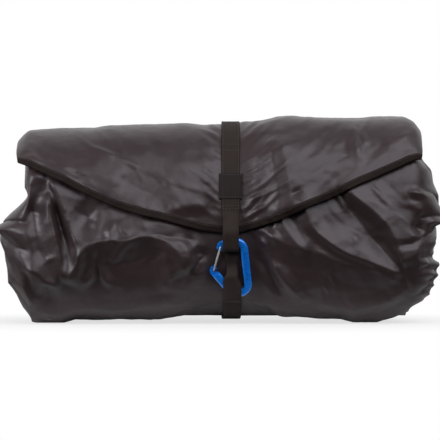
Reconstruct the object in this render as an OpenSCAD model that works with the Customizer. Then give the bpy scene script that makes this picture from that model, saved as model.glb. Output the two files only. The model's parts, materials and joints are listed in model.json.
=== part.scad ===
// A camping hammock packed in its own pouch, closed by a strap and a wiregate carabiner.
// Frame: X along the roll, front faces -Y, Z up, origin under the middle of the bounding box.
// Angles round the roll start at the top and turn towards the front.

/* [Pack] */
// Length of the packed roll, end to end
pack_length = 480; // [380:5:640]
// Height of the roll at its fuller end
pack_height = 226; // [190:1:270]
// How much lower the top is at the other end
top_droop = 14; // [0:1:30]
// Depth of the roll, front to back, without straps
pack_depth = 164; // [130:1:210]
// How far the cloth would sink below the table if it were not flat there
base_squash = 3; // [2:0.5:6]
// How square the section is, where 2 is an ellipse
section_power = 2.5; // [2:0.1:3]
// How far each end bulges past its seam
end_bulge = 35; // [25:1:60]
// Thickness of the cloth
cloth_t = 1.2; // [0.8:0.1:2]
// How deep the gathers are cut into the ends
gather_depth = 9; // [3:0.5:12]
// Number of gathers round each end
gathers = 9; // [5:1:13]
// Hollow in the middle of each end, where the gathers meet
end_hollow = 5; // [2:0.5:8]
// Height of the mouth's edge on the front
mouth_z = 186; // [176:1:192]
// Height of the seam on which the flap folds
hinge_z = 170; // [150:1:180]
// Width of the hem on the mouth
hem_width = 12; // [8:1:16]
// Thickness that the hem adds on each face
hem_t = 0.8; // [0.5:0.1:1]

/* [Flap] */
// Thickness of the flap
flap_t = 1; // [0.8:0.1:1.6]
// Length of the flap along the roll
flap_length = 450; // [360:5:456]
// Height of the flap's point in the middle of the front
flap_tip_z = 99; // [90:1:118]
// Height of the flap's edge at its two corners
flap_corner_z = 180; // [160:1:186]
// How the edge curves from the point to the corners, where 1 is straight
flap_curve = 1.5; // [1:0.1:2]
// Width of the binding
binding_width = 9; // [6:0.5:12]
// Thickness that the binding adds on each face
binding_t = 0.7; // [0.5:0.1:0.9]

/* [Straps] */
// Width of the webbing
strap_width = 20; // [15:1:25]
// Thickness of the webbing
strap_t = 1.5; // [1:0.1:2]
// Place of the flap's strap along the roll
strap_x = 11.5; // [-20:0.5:20]
// How much further along the front strap is
clip_shift = 1.7; // [0:0.1:1.8]
// How far the straps draw the roll in
strap_cinch = 7; // [3:0.5:10]
// Half of the length that is drawn in
cinch_reach = 44; // [36:1:70]
// Width of the webbing where the carabiner bunches it
tab_width = 17.5; // [14:0.1:18]
// Height of the fold where the loop leaves its stitching
tab_z = 121; // [112:1:128]
// Height of the carabiner's bar in its loop
loop_z = 92; // [90:0.5:95]
// How far the loop stands off the flap's point
tab_lift = 0.9; // [0.6:0.1:2]
// Height of the label's middle
label_z = 147; // [140:1:156]
// Height of the label along the strap
label_height = 26; // [16:1:32]
// Width of the label
label_width = 25; // [23:0.5:30]
// Thickness of the label's cloth
label_t = 0.45; // [0.3:0.05:0.5]
// Width of the seam tape on the flap's fold
tape_width = 16; // [10:1:24]

/* [Carabiner] */
// Height of the spine between the corners, along the middle of the bar
spine_height = 61.5; // [56:0.5:66]
// Reach of the top bar from the spine
top_reach = 24.8; // [24:0.1:27]
// Slope of the top bar
top_slope = 12; // [8:1:16]
// Reach of the straight bottom bar
base_reach = 18.1; // [17:0.1:20]
// Reach of the nose from the spine
nose_reach = 35.4; // [34:0.1:38]
// Slope of the bar from the bottom up to the nose
basket_slope = 57.8; // [54:0.1:60]
// Length of the nose from its bend to its rounded tip's middle
nose_length = 1.6; // [1.5:0.1:2.5]
// Length of the stub that carries the gate's pivot
stub_length = 4.1; // [3.8:0.1:4.6]
// Width of the bar, in its plane
bar_width = 8.4; // [7.4:0.1:8.6]
// Thickness of the bar
bar_t = 6.4; // [5.8:0.1:7]
// Rounding of the bar's edges
bar_round = 2.4; // [1:0.1:2.6]
// Thickness left at the pivot and the nose
tongue_t = 4; // [3:0.1:4.4]
// Diameter of the gate's wire
wire_d = 1.7; // [1.4:0.1:2]
// Depth of the recess along the spine
spine_recess = 0.6; // [0.3:0.1:0.9]
// Width of the recess along the spine
recess_width = 3.2; // [2:0.1:3.6]
// Length of the recess along the spine
recess_length = 32; // [20:1:36]
// How far from the spine the loop holds the top bar
held_reach = 13.6; // [13.4:0.1:14]
// Tilt of the carabiner in its plane
clip_tilt = 6; // [3:1:8]

/* [Contents] */
// Thickness of one layer of the rolled bed
bed_layer = 8.6; // [6:0.1:9.5]
// Distance from one layer of the bed to the next
bed_pitch = 10.2; // [9.8:0.1:11]
// Number of turns in the bed's roll
bed_turns = 4; // [2:1:4]
// Number of turns in a tree strap's coil
coil_turns = 9; // [5:1:11]
// Distance from one turn of the coil to the next
coil_pitch = 2.2; // [2:0.1:2.4]
// Hole in the middle of a coil
coil_hole = 18; // [12:1:24]
// Diameter of the sling's cord
sling_d = 5; // [3:0.5:7]
// Length of a sling, laid out as a loop
sling_length = 96; // [70:1:110]
// Width of a sling's loop
sling_width = 26; // [20:1:30]

/* [Clearances] */
// Gap between pieces that lie on each other
gap = 0.3; // [0.25:0.05:0.5]
// Radial gap of the gate's pins in their bore
pin_gap = 0.05; // [0.02:0.01:0.1]
// Room for the carabiner's bar in the bottom of its loop
loop_room = 2.9; // [2.6:0.1:3.4]

/* [Hidden] */
$fn = 48;
seam_x = pack_length / 2 - end_bulge;
clip_x = strap_x + clip_shift;
cinch_x = strap_x + clip_shift / 2;
// Layers above the wrap, measured outward from its outer face
flap_in = hem_t + binding_t + 1.5 * gap;
flap_out = flap_in + flap_t;
strap_in = flap_out + binding_t + gap;
strap_out = strap_in + strap_t;
label_gap = 0.2;
label_in = strap_in - label_gap - label_t;
label_out = strap_out + label_gap + label_t;
tab_in = strap_in + tab_lift;
bar_out = tab_in + strap_t + gap + bar_t / 2;
tab_front = bar_out + bar_t / 2 + gap;

// Main folds of the wrap: height, width on the left and the right of the line, then its points as x and z
FOLDS = [
    [8.5, 27, 11, [[-212, 56], [-182, 50], [-168, 45], [-149, 79], [-107, 91], [-77, 94], [-56, 80],
                   [-37, 53], [-16, 66]]],
    [5, 9, 20, [[-183, 137], [-177, 101], [-170, 66]]],
    [4.5, 12, 11, [[-192, 156], [-164, 116], [-146, 87]]],
    [5, 11, 10, [[32, 97], [63, 62], [90, 14]]],
    [8, 14, 14, [[104, 116], [136, 86], [156, 68], [200, 54]]],
    [-6, 12, 12, [[134, 130], [151, 110], [186, 74]]],
    [5, 14, 12, [[168, 132], [202, 96]]],
    [4, 13, 11, [[112, 52], [134, 18]]],
];
// Distance below the flap's edge at which the folds start, and over which they come in
fold_start = 10;
fold_run = 12;
// Outline of the two ends: share of the pack's height, and share of the full bulge there
LEFT_OUTLINE = [[0, 0.2], [0.03, 0.26], [0.08, 0.46], [0.23, 0.8], [0.44, 1], [0.49, 0.9], [0.57, 0.43],
                [0.64, 0.26], [1, 0.23]];
RIGHT_OUTLINE = [[0, 0.2], [0.08, 0.36], [0.13, 0.69], [0.3, 0.92], [0.4, 0.85], [0.52, 1], [0.62, 0.86],
                 [0.76, 0.68], [0.84, 0.4], [1, 0.23]];

// How the ends close: share of the full section at a place past the seam
end_turn = 180 - asin(1 - end_hollow / end_bulge);
function end_scale(x) =
    abs(x) <= seam_x ? 1 : cos(90 * asin(min(1, (abs(x) - seam_x) / end_bulge)) / end_turn);
function cinch_share(x) = exp(-pow(abs(x - cinch_x) / cinch_reach, 4));
function cinch(x) = strap_cinch * cinch_share(x);
function top_z(x) = pack_height - top_droop * (0.5 - x * (1 - cinch_share(x)) / pack_length) - cinch(x);
function bottom_z(x) = -base_squash + 1.2 * cinch(x);
function mid_z(x) = (top_z(x) + bottom_z(x)) / 2;
function half_height(x) = end_scale(x) * (top_z(x) - bottom_z(x)) / 2;
function half_depth(x) = end_scale(x) * (pack_depth / 2 - 0.8 * cinch(x));
function ellipse_r(depth, height, a) =
    1 / pow(pow(abs(sin(a)) / depth, section_power) + pow(abs(cos(a)) / height, section_power),
            1 / section_power);
// Distance of a point on the front from a straight piece of a fold, below 0 on its right
function line_gap(p, a, b) =
    let (t = max(0, min(1, ((p - a) * (b - a)) / ((b - a) * (b - a)))),
         away = p - a - t * (b - a),
         left = (b - a)[0] * away[1] - (b - a)[1] * away[0])
    left < 0 ? -norm(away) : norm(away);
function nearest(v) =
    let (least = min([for (d = v) abs(d)]))
    [for (d = v) if (abs(d) <= least) d][0];
function fold_height(p, f) =
    let (d = nearest([for (i = [1:len(f[3]) - 1]) line_gap(p, f[3][i - 1], f[3][i])]))
    f[0] * exp(-pow(d / (d > 0 ? f[1] : f[2]), 2));
function fold(x, z) =
    let (heights = [for (f = FOLDS) fold_height([x, z], f)],
         share = max(0, min(1, (edge_z(x) - z - fold_start) / fold_run)))
    (1 - cinch_share(x)) * share * (max(0, max(heights)) + min(0, min(heights)));
function skin_r(x, a) =
    let (r = ellipse_r(half_depth(x), half_height(x), a),
         z = mid_z(x) + r * cos(a))
    r + max(0, sin(a)) * end_scale(x) * fold(x, z);
// Angle on the front at which the section has a height
function angle_at(x, z) =
    let (h = half_height(x),
         w = max(-0.98, min(0.98, (z - mid_z(x)) / h)),
         y = half_depth(x) * pow(1 - pow(abs(w), section_power), 1 / section_power))
    atan2(y, w * h);
// Point at a distance outside the wrap, kept above the table; the roll's middle is at 0
function place(x, a, d) =
    let (r = skin_r(x, a) + d)
    [x, -r * sin(a), max(mid_z(x) + r * cos(a), max(-d, 0))];
// Plane of the carabiner, which leans with the front of the pack
loop_a = angle_at(strap_x, loop_z);
loop_y = place(strap_x, loop_a, bar_out)[1];
foot = place(strap_x, angle_at(strap_x, loop_z - 0.93 * spine_height), bar_out);
lean = atan2(foot[1] - loop_y, place(strap_x, loop_a, bar_out)[2] - foot[2]);
// Loop of webbing round the carabiner's bar
tilted_slope = top_slope + clip_tilt;
bar_half = bar_width / 2;
bar_rise = tab_width / 2 * tan(tilted_slope) + bar_half / cos(tilted_slope);
loop_drop = bar_rise + loop_room;
loop_r = (tab_front - tab_in) / 2;
loop_base = loop_r - strap_t / 2 - loop_drop;
bar_top = bar_rise + 0.8;
// Place of the roll, so that the whole is in the middle front to back
front_reach = -loop_y + bar_top * sin(lean) + (loop_r + strap_t / 2) * cos(lean);
pack_y = (front_reach - pack_depth / 2) / 2;
function skin(x, a, d) = place(x, a, d) + [0, pack_y, 0];
function back_angle(x) = -angle_at(x, hinge_z);
function mouth_angle(x) = angle_at(x, mouth_z);
function edge_z(x) =
    let (reach = flap_length / 2 + (x < strap_x ? strap_x : -strap_x),
         t = min(1, abs(x - strap_x) / reach))
    flap_tip_z + (flap_corner_z - flap_tip_z) * pow(t, flap_curve);
function edge_angle(x) = angle_at(x, edge_z(x));
// Angle that a distance along the surface takes up
function turn_of(x, a, length) = length / skin_r(x, a) * 180 / PI;

// Stations along the roll, closer where the straps draw it in
near = [-1.5, -1.25, -1, -0.8, -0.6, -0.4];
left_near = cinch_x + near[0] * cinch_reach;
right_near = cinch_x - near[0] * cinch_reach;
function inner_stations() = concat(
    [for (i = [1:9]) -seam_x + (left_near + seam_x) * i / 10],
    [for (n = near) cinch_x + n * cinch_reach],
    [for (i = [5:-1:0]) cinch_x - near[i] * cinch_reach],
    [for (i = [1:8]) right_near + (seam_x - right_near) * i / 9]);
STATIONS = concat([-seam_x], inner_stations(), [seam_x]);
past_seam = flap_length / 2 - seam_x;
PAST = [0.4, 0.75, 1];
FLAP_STATIONS = concat([for (i = [2:-1:0]) -seam_x - past_seam * PAST[i]], STATIONS,
                       [for (k = PAST) seam_x + past_seam * k]);

// Four corners as two triangles, cut along the shorter diagonal
function two_faces(points, q) =
    norm(points[q[0]] - points[q[2]]) <= norm(points[q[1]] - points[q[3]])
        ? [[q[0], q[1], q[2]], [q[0], q[2], q[3]]]
        : [[q[1], q[2], q[3]], [q[1], q[3], q[0]]];
// Closed solid between two grids of points that match
module quilt(outer, inner) {
    rows = len(outer);
    cols = len(outer[0]);
    n = rows * cols;
    points = concat([for (r = outer) each r], [for (r = inner) each r]);
    top = [for (i = [0:rows - 2], j = [0:cols - 2])
        each two_faces(points, [i * cols + j, (i + 1) * cols + j, (i + 1) * cols + j + 1, i * cols + j + 1])];
    under = [for (f = top) [f[2] + n, f[1] + n, f[0] + n]];
    ring = concat([for (j = [0:cols - 1]) j],
                  [for (i = [1:rows - 1]) i * cols + cols - 1],
                  [for (j = [cols - 2:-1:0]) (rows - 1) * cols + j],
                  [for (i = [rows - 2:-1:1]) i * cols]);
    rim = [for (k = [0:len(ring) - 1])
        let (a = ring[k],
             b = ring[(k + 1) % len(ring)])
        each [[a, b, a + n], [b, b + n, a + n]]];
    polyhedron(points, concat(top, under, rim));
}
// Closed solid through rings of points that match; a hollow ring's ends are closed in parts
module tube(rings, ends = []) {
    rows = len(rings);
    cols = len(rings[0]);
    caps = len(ends) > 0 ? ends : [[for (j = [0:cols - 1]) j]];
    points = [for (r = rings) each r];
    side = [for (i = [0:rows - 2], j = [0:cols - 1])
        let (k = (j + 1) % cols)
        each two_faces(points, [i * cols + j, (i + 1) * cols + j, (i + 1) * cols + k, i * cols + k])];
    last = [for (cap = caps) [for (j = reversed(cap)) (rows - 1) * cols + j]];
    polyhedron(points, concat(side, caps, last));
}

// Wrap of the pouch: front, bottom and back, open at the mouth
FRONT_STEPS = 20;
PANEL_STEPS = 33;
function panel_angle(x, j) =
    let (a = mouth_angle(x),
         b = a + turn_of(x, a, hem_width),
         d = 360 + back_angle(x),
         c = d - turn_of(x, d, tape_width))
    j == 0 ? a
    : j == PANEL_STEPS ? d
    : j <= FRONT_STEPS ? b + (180 - b) * (j - 1) / (FRONT_STEPS - 1)
    : 180 + (c - 180) * (j - FRONT_STEPS) / (PANEL_STEPS - 1 - FRONT_STEPS);
function panel_grid(d) = [for (x = STATIONS) [for (j = [0:PANEL_STEPS]) skin(x, panel_angle(x, j), d)]];
module pack_panel() {
    color([0.16, 0.15, 0.16])
        quilt(panel_grid(0), panel_grid(-cloth_t));
}

// Gathered end: rings from the seam to the hollow in the middle
END_RINGS = 7;
END_STEPS = 54;
// Share of the plain bulge that the outline leaves at a height
function end_share(side, z) =
    let (x = side * seam_x,
         high = min(1, abs(z - mid_z(x)) / half_height(x)),
         plain = sin(end_turn * acos(high) / 90))
    max(0.2, min(1, lookup(z / pack_height, side < 0 ? LEFT_OUTLINE : RIGHT_OUTLINE) / max(0.2, plain)));
function end_point(side, t, a, d) =
    let (x = side * seam_x,
         dent = gather_depth * sin(180 * t) * (1 - cos(gathers * a)) / 2,
         r = (skin_r(x, a) + d) * cos(90 * t) - dent,
         share = end_share(side, mid_z(x) + skin_r(x, a) * cos(90 * t) * cos(a)),
         bulge = share * (end_bulge * sin(end_turn * t) - dent / 2) + d * sin(end_turn * t),
         z = mid_z(x) + r * cos(a))
    [x + side * max(0, bulge), pack_y - r * sin(a), max(z, max(-d, 0))];
module gathered_end(side) {
    ts = [for (i = [0:END_RINGS - 1]) i / END_RINGS];
    as = [for (j = [0:END_STEPS - 1]) 360 * j / END_STEPS];
    n = END_RINGS * END_STEPS;
    outer = [for (t = ts, a = as) end_point(side, t, a, 0)];
    inner = [for (t = ts, a = as) end_point(side, t, a, -cloth_t)];
    hub = [end_point(side, 1, 0, 0), end_point(side, 1, 0, -cloth_t)];
    last = (END_RINGS - 1) * END_STEPS;
    wall = [for (i = [0:END_RINGS - 2], j = [0:END_STEPS - 1])
        let (k = (j + 1) % END_STEPS,
             a = i * END_STEPS + j,
             b = i * END_STEPS + k)
        each [[a, b, b + END_STEPS], [a, b + END_STEPS, a + END_STEPS]]];
    fan = [for (j = [0:END_STEPS - 1]) [last + j, last + (j + 1) % END_STEPS, 2 * n]];
    under = concat([for (f = wall) [f[2] + n, f[1] + n, f[0] + n]],
                   [for (f = fan) [2 * n + 1, f[1] + n, f[0] + n]]);
    rim = [for (j = [0:END_STEPS - 1])
        let (k = (j + 1) % END_STEPS)
        each [[k, j, j + n], [k, j + n, k + n]]];
    faces = concat(wall, fan, under, rim);
    polyhedron(concat(outer, inner, hub), side > 0 ? [for (f = faces) [f[2], f[1], f[0]]] : faces);
}
module left_end() {
    color([0.17, 0.16, 0.17])
        gathered_end(-1);
}
module right_end() {
    color([0.17, 0.16, 0.17])
        gathered_end(1);
}

// Tape folded over an edge: dir is 1 where the cloth lies at smaller angles than the edge
module edge_tape(stations, edge, dir, width, low, high, t) {
    slack = gap / 3;
    rings = [for (x = stations)
        let (a = edge(x),
             back = a - dir * turn_of(x, a, width),
             s = a + dir * turn_of(x, a, slack),
             m = a + dir * turn_of(x, a, t))
        [skin(x, back, high + t), skin(x, m, high + t), skin(x, m, low - t), skin(x, back, low - t),
         skin(x, back, low - slack), skin(x, s, low - slack), skin(x, s, high + slack),
         skin(x, back, high + slack)]];
    tube(dir > 0 ? rings : [for (r = rings) reversed(r)], [[0, 1, 6, 7], [1, 2, 5, 6], [2, 3, 4, 5]]);
}
module mouth_hem() {
    color([0.2, 0.18, 0.18])
        edge_tape(STATIONS, function (x) mouth_angle(x), -1, hem_width, -cloth_t, 0, hem_t);
}
module flap() {
    steps = 20;
    angle = function (x, j)
        let (a = back_angle(x),
             c = edge_angle(x),
             b = c - turn_of(x, c, binding_width))
        j > steps ? c : a + (b - a) * j / steps;
    grid = function (d) [for (x = FLAP_STATIONS) [for (j = [0:steps + 1]) skin(x, angle(x, j), d)]];
    color([0.2, 0.19, 0.2])
        quilt(grid(flap_out), grid(flap_in));
}
module flap_binding() {
    color([0.14, 0.12, 0.11])
        edge_tape(FLAP_STATIONS, function (x) edge_angle(x), 1, binding_width, flap_in, flap_out, binding_t);
}
module hinge_tape() {
    grid = function (d) [for (x = STATIONS) [for (j = [0:1])
        let (e = 360 + back_angle(x))
        skin(x, e - turn_of(x, e, tape_width) * (1 - j), d)]];
    color([0.14, 0.12, 0.11])
        quilt(grid(gap + hem_t), grid(gap));
}

// Ribbon whose path lies in a plane across the roll
function tangent(p, i) =
    let (a = p[max(0, i - 1)],
         b = p[min(len(p) - 1, i + 1)])
    (b - a) / norm(b - a);
function shifted(p, d) = [for (i = [0:len(p) - 1])
    let (t = tangent(p, i))
    p[i] + d * [t[1], -t[0]]];
function reversed(v) = [for (i = [len(v) - 1:-1:0]) v[i]];
module ribbon(path, t, width, x) {
    translate([x - width / 2, 0, 0])
        rotate([90, 0, 90])
            linear_extrude(height = width)
                polygon(concat(shifted(path, t / 2), reversed(shifted(path, -t / 2))));
}
function across(p) = [p[1], p[2]];
function round_path(x, a, b, d, steps) =
    [for (i = [0:steps]) across(skin(x, a + (b - a) * i / steps, d))];
tab_a = angle_at(strap_x, tab_z);
module flap_strap() {
    color([0.2, 0.17, 0.16])
        ribbon(round_path(strap_x, back_angle(strap_x), tab_a, strap_in + strap_t / 2, 36),
               strap_t, strap_width, strap_x);
}
module strap_label() {
    a = angle_at(strap_x, label_z + label_height / 2);
    b = angle_at(strap_x, label_z - label_height / 2);
    room = (b - a) / 10;
    middle = (label_in + label_out) / 2;
    color([0.13, 0.12, 0.12])
        difference() {
            ribbon(round_path(strap_x, a, b, middle, 10), label_out - label_in, label_width, strap_x);
            ribbon(round_path(strap_x, a - room, b + room, middle, 12), label_out - label_in - 2 * label_t,
                   strap_width + 2 * label_gap, strap_x);
        }
}
base_a = 168;
on_wrap = 1.5 * gap + strap_t / 2;
module back_strap() {
    color([0.2, 0.17, 0.16])
        ribbon(round_path(strap_x, 360 + back_angle(strap_x) - turn_of(strap_x, 300, tape_width + 1), base_a,
                          on_wrap, 40), strap_t, strap_width, strap_x);
}

// Points in the plane across the carabiner: along its lean, and out of it
loop_at = across(skin(strap_x, loop_a, bar_out));
function on_plane(w, q) = loop_at + w * [-sin(lean), cos(lean)] + q * [-cos(lean), -sin(lean)];

// Carabiner bar, along its middle: nose, basket, bottom, spine, top, stub
nose_v = (nose_reach - base_reach) * tan(basket_slope);
top_end = [-top_reach, spine_height - top_reach * tan(top_slope)];
stub_lean = 11;
BAR = [
    [-nose_reach, nose_v + nose_length],
    [-nose_reach, nose_v],
    [-base_reach, 0],
    [0, 0],
    [0, spine_height],
    top_end,
    top_end - stub_length * [sin(stub_lean), cos(stub_lean)],
];
BAR_BENDS = [0, 5, 10, 10, 11, 5, 0];
held = [-held_reach, spine_height - held_reach * tan(top_slope)];
pivot = top_end - (stub_length - 1.8) * [sin(stub_lean), cos(stub_lean)];
catch = [-nose_reach + 0.2, nose_v + nose_length - 0.6];
gate_length = norm(catch - pivot);
gate_a = atan2(catch[1] - pivot[1], catch[0] - pivot[0]);
wire_r = wire_d / 2;
wire_z = tongue_t / 2 + 0.2 + wire_r;
function heading(i) = atan2(BAR[i + 1][1] - BAR[i][1], BAR[i + 1][0] - BAR[i][0]);
function bend(i) =
    let (d = heading(i) - heading(i - 1))
    d < -180 ? d + 360 : d > 180 ? d - 360 : d;
function trim(i) = BAR_BENDS[i] == 0 ? 0 : BAR_BENDS[i] * tan(bend(i) / 2);
// Section of the bar: flat faces, and edges rounded in three steps
BAR_EDGE = [for (k = [0:3], i = [0:3])
    let (a = 90 * k + 30 * i)
    [(k == 0 || k == 3 ? 1 : -1) * (bar_half - bar_round) + bar_round * cos(a),
     (k < 2 ? 1 : -1) * (bar_t / 2 - bar_round) + bar_round * sin(a)]];
function bar_ring(at, h) =
    [for (p = BAR_EDGE) [at[0] - p[0] * sin(h), at[1] + p[0] * cos(h), p[1]]];
function bend_rings(i) =
    let (h = heading(i - 1),
         r = BAR_BENDS[i],
         middle = BAR[i] - trim(i) * [cos(h), sin(h)] + r * [-sin(h), cos(h)],
         steps = ceil(bend(i) / 10))
    [for (k = [0:steps])
        let (a = h + bend(i) * k / steps)
        bar_ring(middle + r * [sin(a), -cos(a)], a)];
module bar_run() {
    last = len(BAR) - 1;
    tube(concat([bar_ring(BAR[0], heading(0))], [for (i = [1:last - 1]) each bend_rings(i)],
                [bar_ring(BAR[last], heading(last - 1))]));
}
module clip_body() {
    difference() {
        union() {
            bar_run();
            translate(BAR[0])
                cylinder(r = bar_half - 0.3, h = tongue_t + 1, center = true);
            translate(BAR[len(BAR) - 1])
                cylinder(r = bar_half - 1.6, h = tongue_t + 1, center = true);
        }
        // Flats beside the pivot and the nose
        for (side = [-1, 1]) {
            translate([pivot[0], pivot[1], side * (tongue_t / 2 + bar_t / 2)])
                cylinder(r = bar_half + 1.6, h = bar_t, center = true);
            translate([catch[0], catch[1], side * (tongue_t / 2 + bar_t / 2)])
                cylinder(r = bar_half + 1.4, h = bar_t, center = true);
        }
        // Bore for the gate's pins
        translate(pivot)
            cylinder(d = wire_d + 2 * pin_gap, h = 2 * bar_t, center = true);
        // Slot in which the nose catches the wire
        translate(catch)
            rotate([0, 0, gate_a])
                translate([-wire_r - 1.5, -wire_r - 0.1, -bar_t])
                    cube([2 * wire_r + 1.75, 3 * bar_half, 2 * bar_t]);
        // Recess on both faces of the spine
        for (side = [-1, 1])
            translate([0, spine_height / 2 - 2, side * bar_t / 2])
                cube([recess_width, recess_length, 2 * spine_recess], center = true);
    }
}
module clip_gate() {
    translate(pivot)
        rotate([0, 0, gate_a]) {
            for (side = [-1, 1]) {
                translate([0, 0, side * wire_z]) {
                    sphere(r = wire_r);
                    rotate([0, 90, 0])
                        cylinder(r = wire_r, h = gate_length - wire_z);
                }
                translate([0, 0, side * (wire_z + 0.3) / 2])
                    cylinder(r = wire_r, h = wire_z - 0.3, center = true);
            }
            translate([gate_length - wire_z, 0, 0])
                rotate([90, 0, 0])
                    rotate([0, 0, -90])
                        rotate_extrude(angle = 180)
                            translate([wire_z, 0])
                                circle(r = wire_r, $fn = 24);
        }
}
// Carabiner on the pack: its held point in the loop, tilted and leaning
module on_pack() {
    translate([strap_x, loop_at[0], loop_at[1]])
        rotate([90 + lean, 0, 0])
            rotate([0, 0, clip_tilt])
                translate(-held)
                    children();
}
module carabiner_body() {
    color([0.02, 0.3, 0.68])
        on_pack()
            clip_body();
}
module carabiner_gate() {
    color([0.75, 0.76, 0.78])
        on_pack()
            clip_gate();
}

// Loop of webbing round the carabiner's bar: down in front, round and up behind
function ease(t) = t * t * (3 - 2 * t);
module clip_tab() {
    top_a = tab_a + turn_of(strap_x, tab_a, 2 * gap);
    middle = strap_t / 2;
    run = norm(across(skin(strap_x, top_a, strap_in)) - on_plane(bar_top, loop_r));
    foot_a = angle_at(strap_x, on_plane(bar_top, 0)[1]);
    on_skin = function (t, d) across(skin(strap_x, top_a + (foot_a - top_a) * t, d + middle));
    slope = [for (i = [0:6])
        let (t = i / 6)
        on_skin(t, strap_in) * (1 - ease(t)) + on_plane(bar_top + (1 - t) * run, loop_r) * ease(t)];
    turn = [for (i = [0:12]) on_plane(loop_base - loop_r * sin(15 * i), loop_r * cos(15 * i))];
    behind = [for (i = [10:-1:4]) on_skin(i / 10, tab_in)];
    color([0.2, 0.17, 0.16])
        ribbon(concat(slope, turn, behind), strap_t, tab_width, strap_x);
}

// Webbing that the carabiner clips: in front of its bottom bar, behind its top bar
module clip_strap() {
    q = bar_t / 2 + gap + strap_t / 2;
    low = -spine_height - 3;
    under_end = angle_at(clip_x, on_plane(low, q)[1] - 0.1 * strap_width);
    under = round_path(clip_x, base_a - turn_of(clip_x, base_a, gap), under_end, on_wrap, 8);
    high = -37;
    front = [for (i = [0:3]) on_plane(low + (high - low) * i / 3, q)];
    cross = [for (i = [1:5]) on_plane(high + 13.5 * i / 6, q * cos(30 * i))];
    end_z = on_plane(high + 14.5, -q)[1];
    behind = round_path(clip_x, angle_at(clip_x, end_z), angle_at(clip_x, loop_z + 6), on_wrap, 5);
    color([0.2, 0.17, 0.16])
        ribbon(concat(under, front, cross, behind), strap_t, strap_width, clip_x);
}

// Contents: the bed rolled round its straps and its second carabiner
bed_half_depth = half_depth(cinch_x) - cloth_t - hem_t - gap;
bed_low = bottom_z(cinch_x) + cloth_t + gap;
bed_high = min(top_z(-seam_x), top_z(cinch_x)) - cloth_t - hem_t - gap;
bed_z = (bed_low + bed_high) / 2;
bed_half_height = (bed_high - bed_low) / 2;
// The roll starts at the top of its hollow and ends underneath
bed_end = bed_turns + 0.5;
function bed_point(turn, d) =
    let (a = 360 * turn,
         r = ellipse_r(bed_half_depth, bed_half_height, a) - bed_pitch * (bed_end - turn) - d)
    [pack_y - r * sin(a), bed_z + r * cos(a)];
// Height at which a piece of some thickness lies in the hollow of the roll
core_r = bed_z - bed_point(0.5, bed_layer)[1];
function seat(thickness) =
    bed_point(0.5 - asin(min(1, (thickness / 2 + gap) / core_r)) / 360, bed_layer)[1] + gap;
module hammock_bed() {
    steps = 28 * bed_end;
    color([0.22, 0.2, 0.21])
        translate([-seam_x + 2, 0, 0])
            rotate([90, 0, 90])
                linear_extrude(height = 2 * seam_x - 4)
                    polygon(concat([for (i = [0:steps]) bed_point(bed_end * i / steps, 0)],
                                   [for (i = [steps:-1:0]) bed_point(bed_end * i / steps, bed_layer)]));
}
// A tree strap wound into a flat coil
coil_r = coil_hole / 2 + coil_pitch * coil_turns;
module coil(x) {
    steps = 20 * coil_turns;
    point = function (turn, d) (coil_hole / 2 + coil_pitch * turn + d) * [cos(360 * turn), sin(360 * turn)];
    translate([x, pack_y + strap_width / 2, seat(strap_width) + coil_r + strap_t])
        rotate([90, 0, 0])
            linear_extrude(height = strap_width)
                polygon(concat([for (i = [0:steps]) point(coil_turns * i / steps, strap_t)],
                               [for (i = [steps:-1:0]) point(coil_turns * i / steps, 0)]));
}
coil_x = coil_r + strap_t + 45;
module left_tree_strap() {
    color([0.25, 0.23, 0.22])
        coil(-coil_x);
}
module right_tree_strap() {
    color([0.25, 0.23, 0.22])
        coil(coil_x);
}
// A sling: one closed loop of cord, lying on edge
module sling(x) {
    r = sling_width / 2 - sling_d / 2;
    run = sling_length - sling_width;
    translate([x, pack_y, seat(sling_d / 2) + sling_width / 2])
        rotate([90, 0, 0])
            for (side = [-1, 1]) {
                translate([side * run / 2, 0, 0])
                    rotate([0, 0, -side * 90])
                        rotate_extrude(angle = 180)
                            translate([r, 0])
                                circle(d = sling_d);
                translate([-run / 2, side * r, 0])
                    rotate([0, 90, 0])
                        cylinder(d = sling_d, h = run);
            }
}
sling_x = coil_x + coil_r + strap_t + 6 + sling_length / 2;
module left_sling() {
    color([0.3, 0.28, 0.27])
        sling(-sling_x);
}
module right_sling() {
    color([0.3, 0.28, 0.27])
        sling(sling_x);
}
// The second carabiner stands on its spine in the middle of the roll
module in_core() {
    translate([-spine_height / 2, pack_y, seat(2 * (wire_z + wire_r)) + bar_half])
        rotate([90, 90, 0])
            children();
}
module spare_carabiner_body() {
    color([0.02, 0.3, 0.68])
        in_core()
            clip_body();
}
module spare_carabiner_gate() {
    color([0.75, 0.76, 0.78])
        in_core()
            clip_gate();
}

pack_panel();
left_end();
right_end();
mouth_hem();
hinge_tape();
flap();
flap_binding();
flap_strap();
strap_label();
clip_tab();
back_strap();
clip_strap();
carabiner_body();
carabiner_gate();
hammock_bed();
left_tree_strap();
right_tree_strap();
left_sling();
right_sling();
spare_carabiner_body();
spare_carabiner_gate();
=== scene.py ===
"""Dresses the solids of a camping hammock that is packed in its own pouch."""
import itertools
import json
import math

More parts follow.
